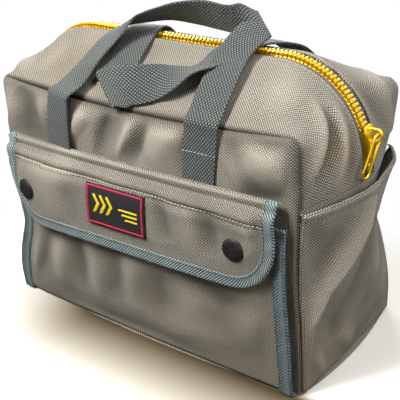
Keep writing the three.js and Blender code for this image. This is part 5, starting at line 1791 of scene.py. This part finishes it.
def placeCamera(look):
    az, el, roll = (math.radians(look[k]) for k in ("azimuth", "elevation", "roll"))
    ahead = Vector((-math.sin(az) * math.cos(el), math.cos(az) * math.cos(el), -math.sin(el)))
    right = ahead.cross(Vector((0, 0, 1))).normalized()
    up = right.cross(ahead)
    tiltedRight = math.cos(roll) * right + math.sin(roll) * up
    tiltedUp = -math.sin(roll) * right + math.cos(roll) * up
    data = bpy.data.cameras.new("camera")
    data.sensor_width = look["sensor"]
    data.lens = look["focal"] / look["picture"] * look["sensor"]
    data.clip_start = 0.01
    camera = linkObject("camera", data)
    turn = Matrix((tiltedRight, tiltedUp, -ahead)).transposed().to_4x4()
    camera.matrix_world = Matrix.Translation(Vector(look["place"]) * mm) @ turn
    bpy.context.scene.camera = camera


placeCamera(cameraLook)

# The floor is pale, with a warm, dark painted contact shadow close to the bag's front. Further off the camera
# sees plain white, while light bounces off it as off a darker floor. Sizes and places are in metres.
floorLook = {
    # the warm colour and the dark one after it are the painted contact shadow's tint and dark
    "size": 6.0, "under": 0.0002, "colour": "#efece6", "bounce": "#4b4841", "warm": "#d9cfb6",
    "paintedShadow": "#463822", "paintedShadowReach": 0.075, "shadowTintPower": 0.6, "paintedShadowPower": 0.9,
    "foot": (0.145, 0.072), "whiteFrom": 0.045, "whiteTo": 0.13,
    # the painted contact shadow fades in x from the left and ends behind the front in y
    "shadeX": (-0.15, -0.06), "shadeLeft": 0.12, "shadeY": (-0.074, -0.06),
}


def makeFloor(look):
    bm = bmesh.new()
    bmesh.ops.create_grid(bm, x_segments=1, y_segments=1, size=look["size"] / 2)
    mesh = bpy.data.meshes.new("floor")
    bm.to_mesh(mesh)
    bm.free()
    mesh.transform(Matrix.Translation((0, 0, -look["under"])))
    material, tree = startMaterial("paleFloorPaintedShadow")
    x, y, _ = addNode(tree, "SeparateXYZ", addNode(tree, "TexCoord", out="Object"), out=None)
    squares = []
    for part, foot in zip((x, y), look["foot"]):
        beyond = addNode(tree, "Math SUBTRACT", addNode(tree, "Math ABSOLUTE", part), foot)
        squares.append(addNode(tree, "Math POWER", addNode(tree, "Math MAXIMUM", beyond, 0.0), 2.0))
    far = addNode(tree, "Math SQRT", addNode(tree, "Math ADD", *squares))
    white = addNode(tree, "MapRange SMOOTHSTEP", far, look["whiteFrom"], look["whiteTo"], 0.0, 1.0)
    seen = addNode(tree, "LightPath", out="Is Camera Ray")
    ahead = addNode(tree, "MapRange SMOOTHSTEP", y, *look["shadeY"], 1.0, 0.0)
    beside = addNode(tree, "MapRange SMOOTHSTEP", x, *look["shadeX"], look["shadeLeft"], 1.0)
    # painted contact shadow: darkest at the bag's front foot, gone by its reach
    paintedShadowMask = addNode(tree, "MapRange LINEAR", far, 0.0, look["paintedShadowReach"], 1.0, 0.0)
    paintedShadowMask = addNode(tree, "Math MULTIPLY", addNode(tree, "Math MULTIPLY", ahead, beside), paintedShadowMask)
    warm, paintedShadow = (addNode(tree, "Math POWER", paintedShadowMask, look[k]) for k in ("shadowTintPower", "paintedShadowPower"))
    shadowedFloorColour = addNode(tree, "Mix RGBA", warm, look["colour"], look["warm"])
    shadowedFloorColour = addNode(tree, "Mix RGBA", paintedShadow, shadowedFloorColour, look["paintedShadow"])
    surface = addNode(tree, "BsdfDiffuse", addNode(tree, "Mix RGBA", seen, look["bounce"], shadowedFloorColour))
    glow = addNode(tree, "Emission", Color="#ffffff", Strength=1.0)
    both = addNode(tree, "MixShader", addNode(tree, "Math MULTIPLY", white, seen), surface, glow)
    addNode(tree, "OutputMaterial", Surface=both)
    mesh.materials.append(material)
    linkObject("floor", mesh)


makeFloor(floorLook)

lightLook = {
    "sky": 0.07, "skyColour": "#fff3e2", "aim": (0, 0, 0.12),
    # place in metres, size, watts
    "lamps": [
        ((-0.22, -0.52, 0.9), 0.3, 12.0),
        ((-0.1, -0.5, 0.6), 0.25, 2.2),
        ((0.45, 0.1, 0.9), 0.5, 4.6),
        ((0.6, -0.1, 0.4), 0.4, 1.9),
        ((-0.7, 0.9, 0.45), 0.6, 13.0),
    ],
}


def lightScene(look):
    world = bpy.data.worlds.new("studio")
    world.use_nodes = True
    bpy.context.scene.world = world
    tree = world.node_tree
    tree.nodes.clear()
    # seen directly, in metal or through glass, the room is plain white
    rays = ("Is Camera Ray", "Is Glossy Ray", "Is Transmission Ray")
    camera, glossy, clear = (addNode(tree, "LightPath", out=name) for name in rays)
    seen = addNode(tree, "Math MAXIMUM", camera, addNode(tree, "Math MAXIMUM", glossy, clear))
    strength = addNode(tree, "Mix FLOAT", seen, look["sky"], 1.0)
    tint = addNode(tree, "Mix RGBA", seen, look["skyColour"], "#ffffff")
    addNode(tree, "OutputWorld", Surface=addNode(tree, "Background", Color=tint, Strength=strength))
    for k, (place, size, watts) in enumerate(look["lamps"]):
        data = bpy.data.lights.new("lamp_%d" % k, "AREA")
        data.shape = "DISK"
        data.size = size
        data.energy = watts
        lamp = linkObject("lamp_%d" % k, data)
        lamp.location = place
        lamp.rotation_euler = (Vector(look["aim"]) - Vector(place)).to_track_quat("-Z", "Y").to_euler()


lightScene(lightLook)
bpy.context.scene.view_settings.view_transform = "Standard"
print("scene lit")
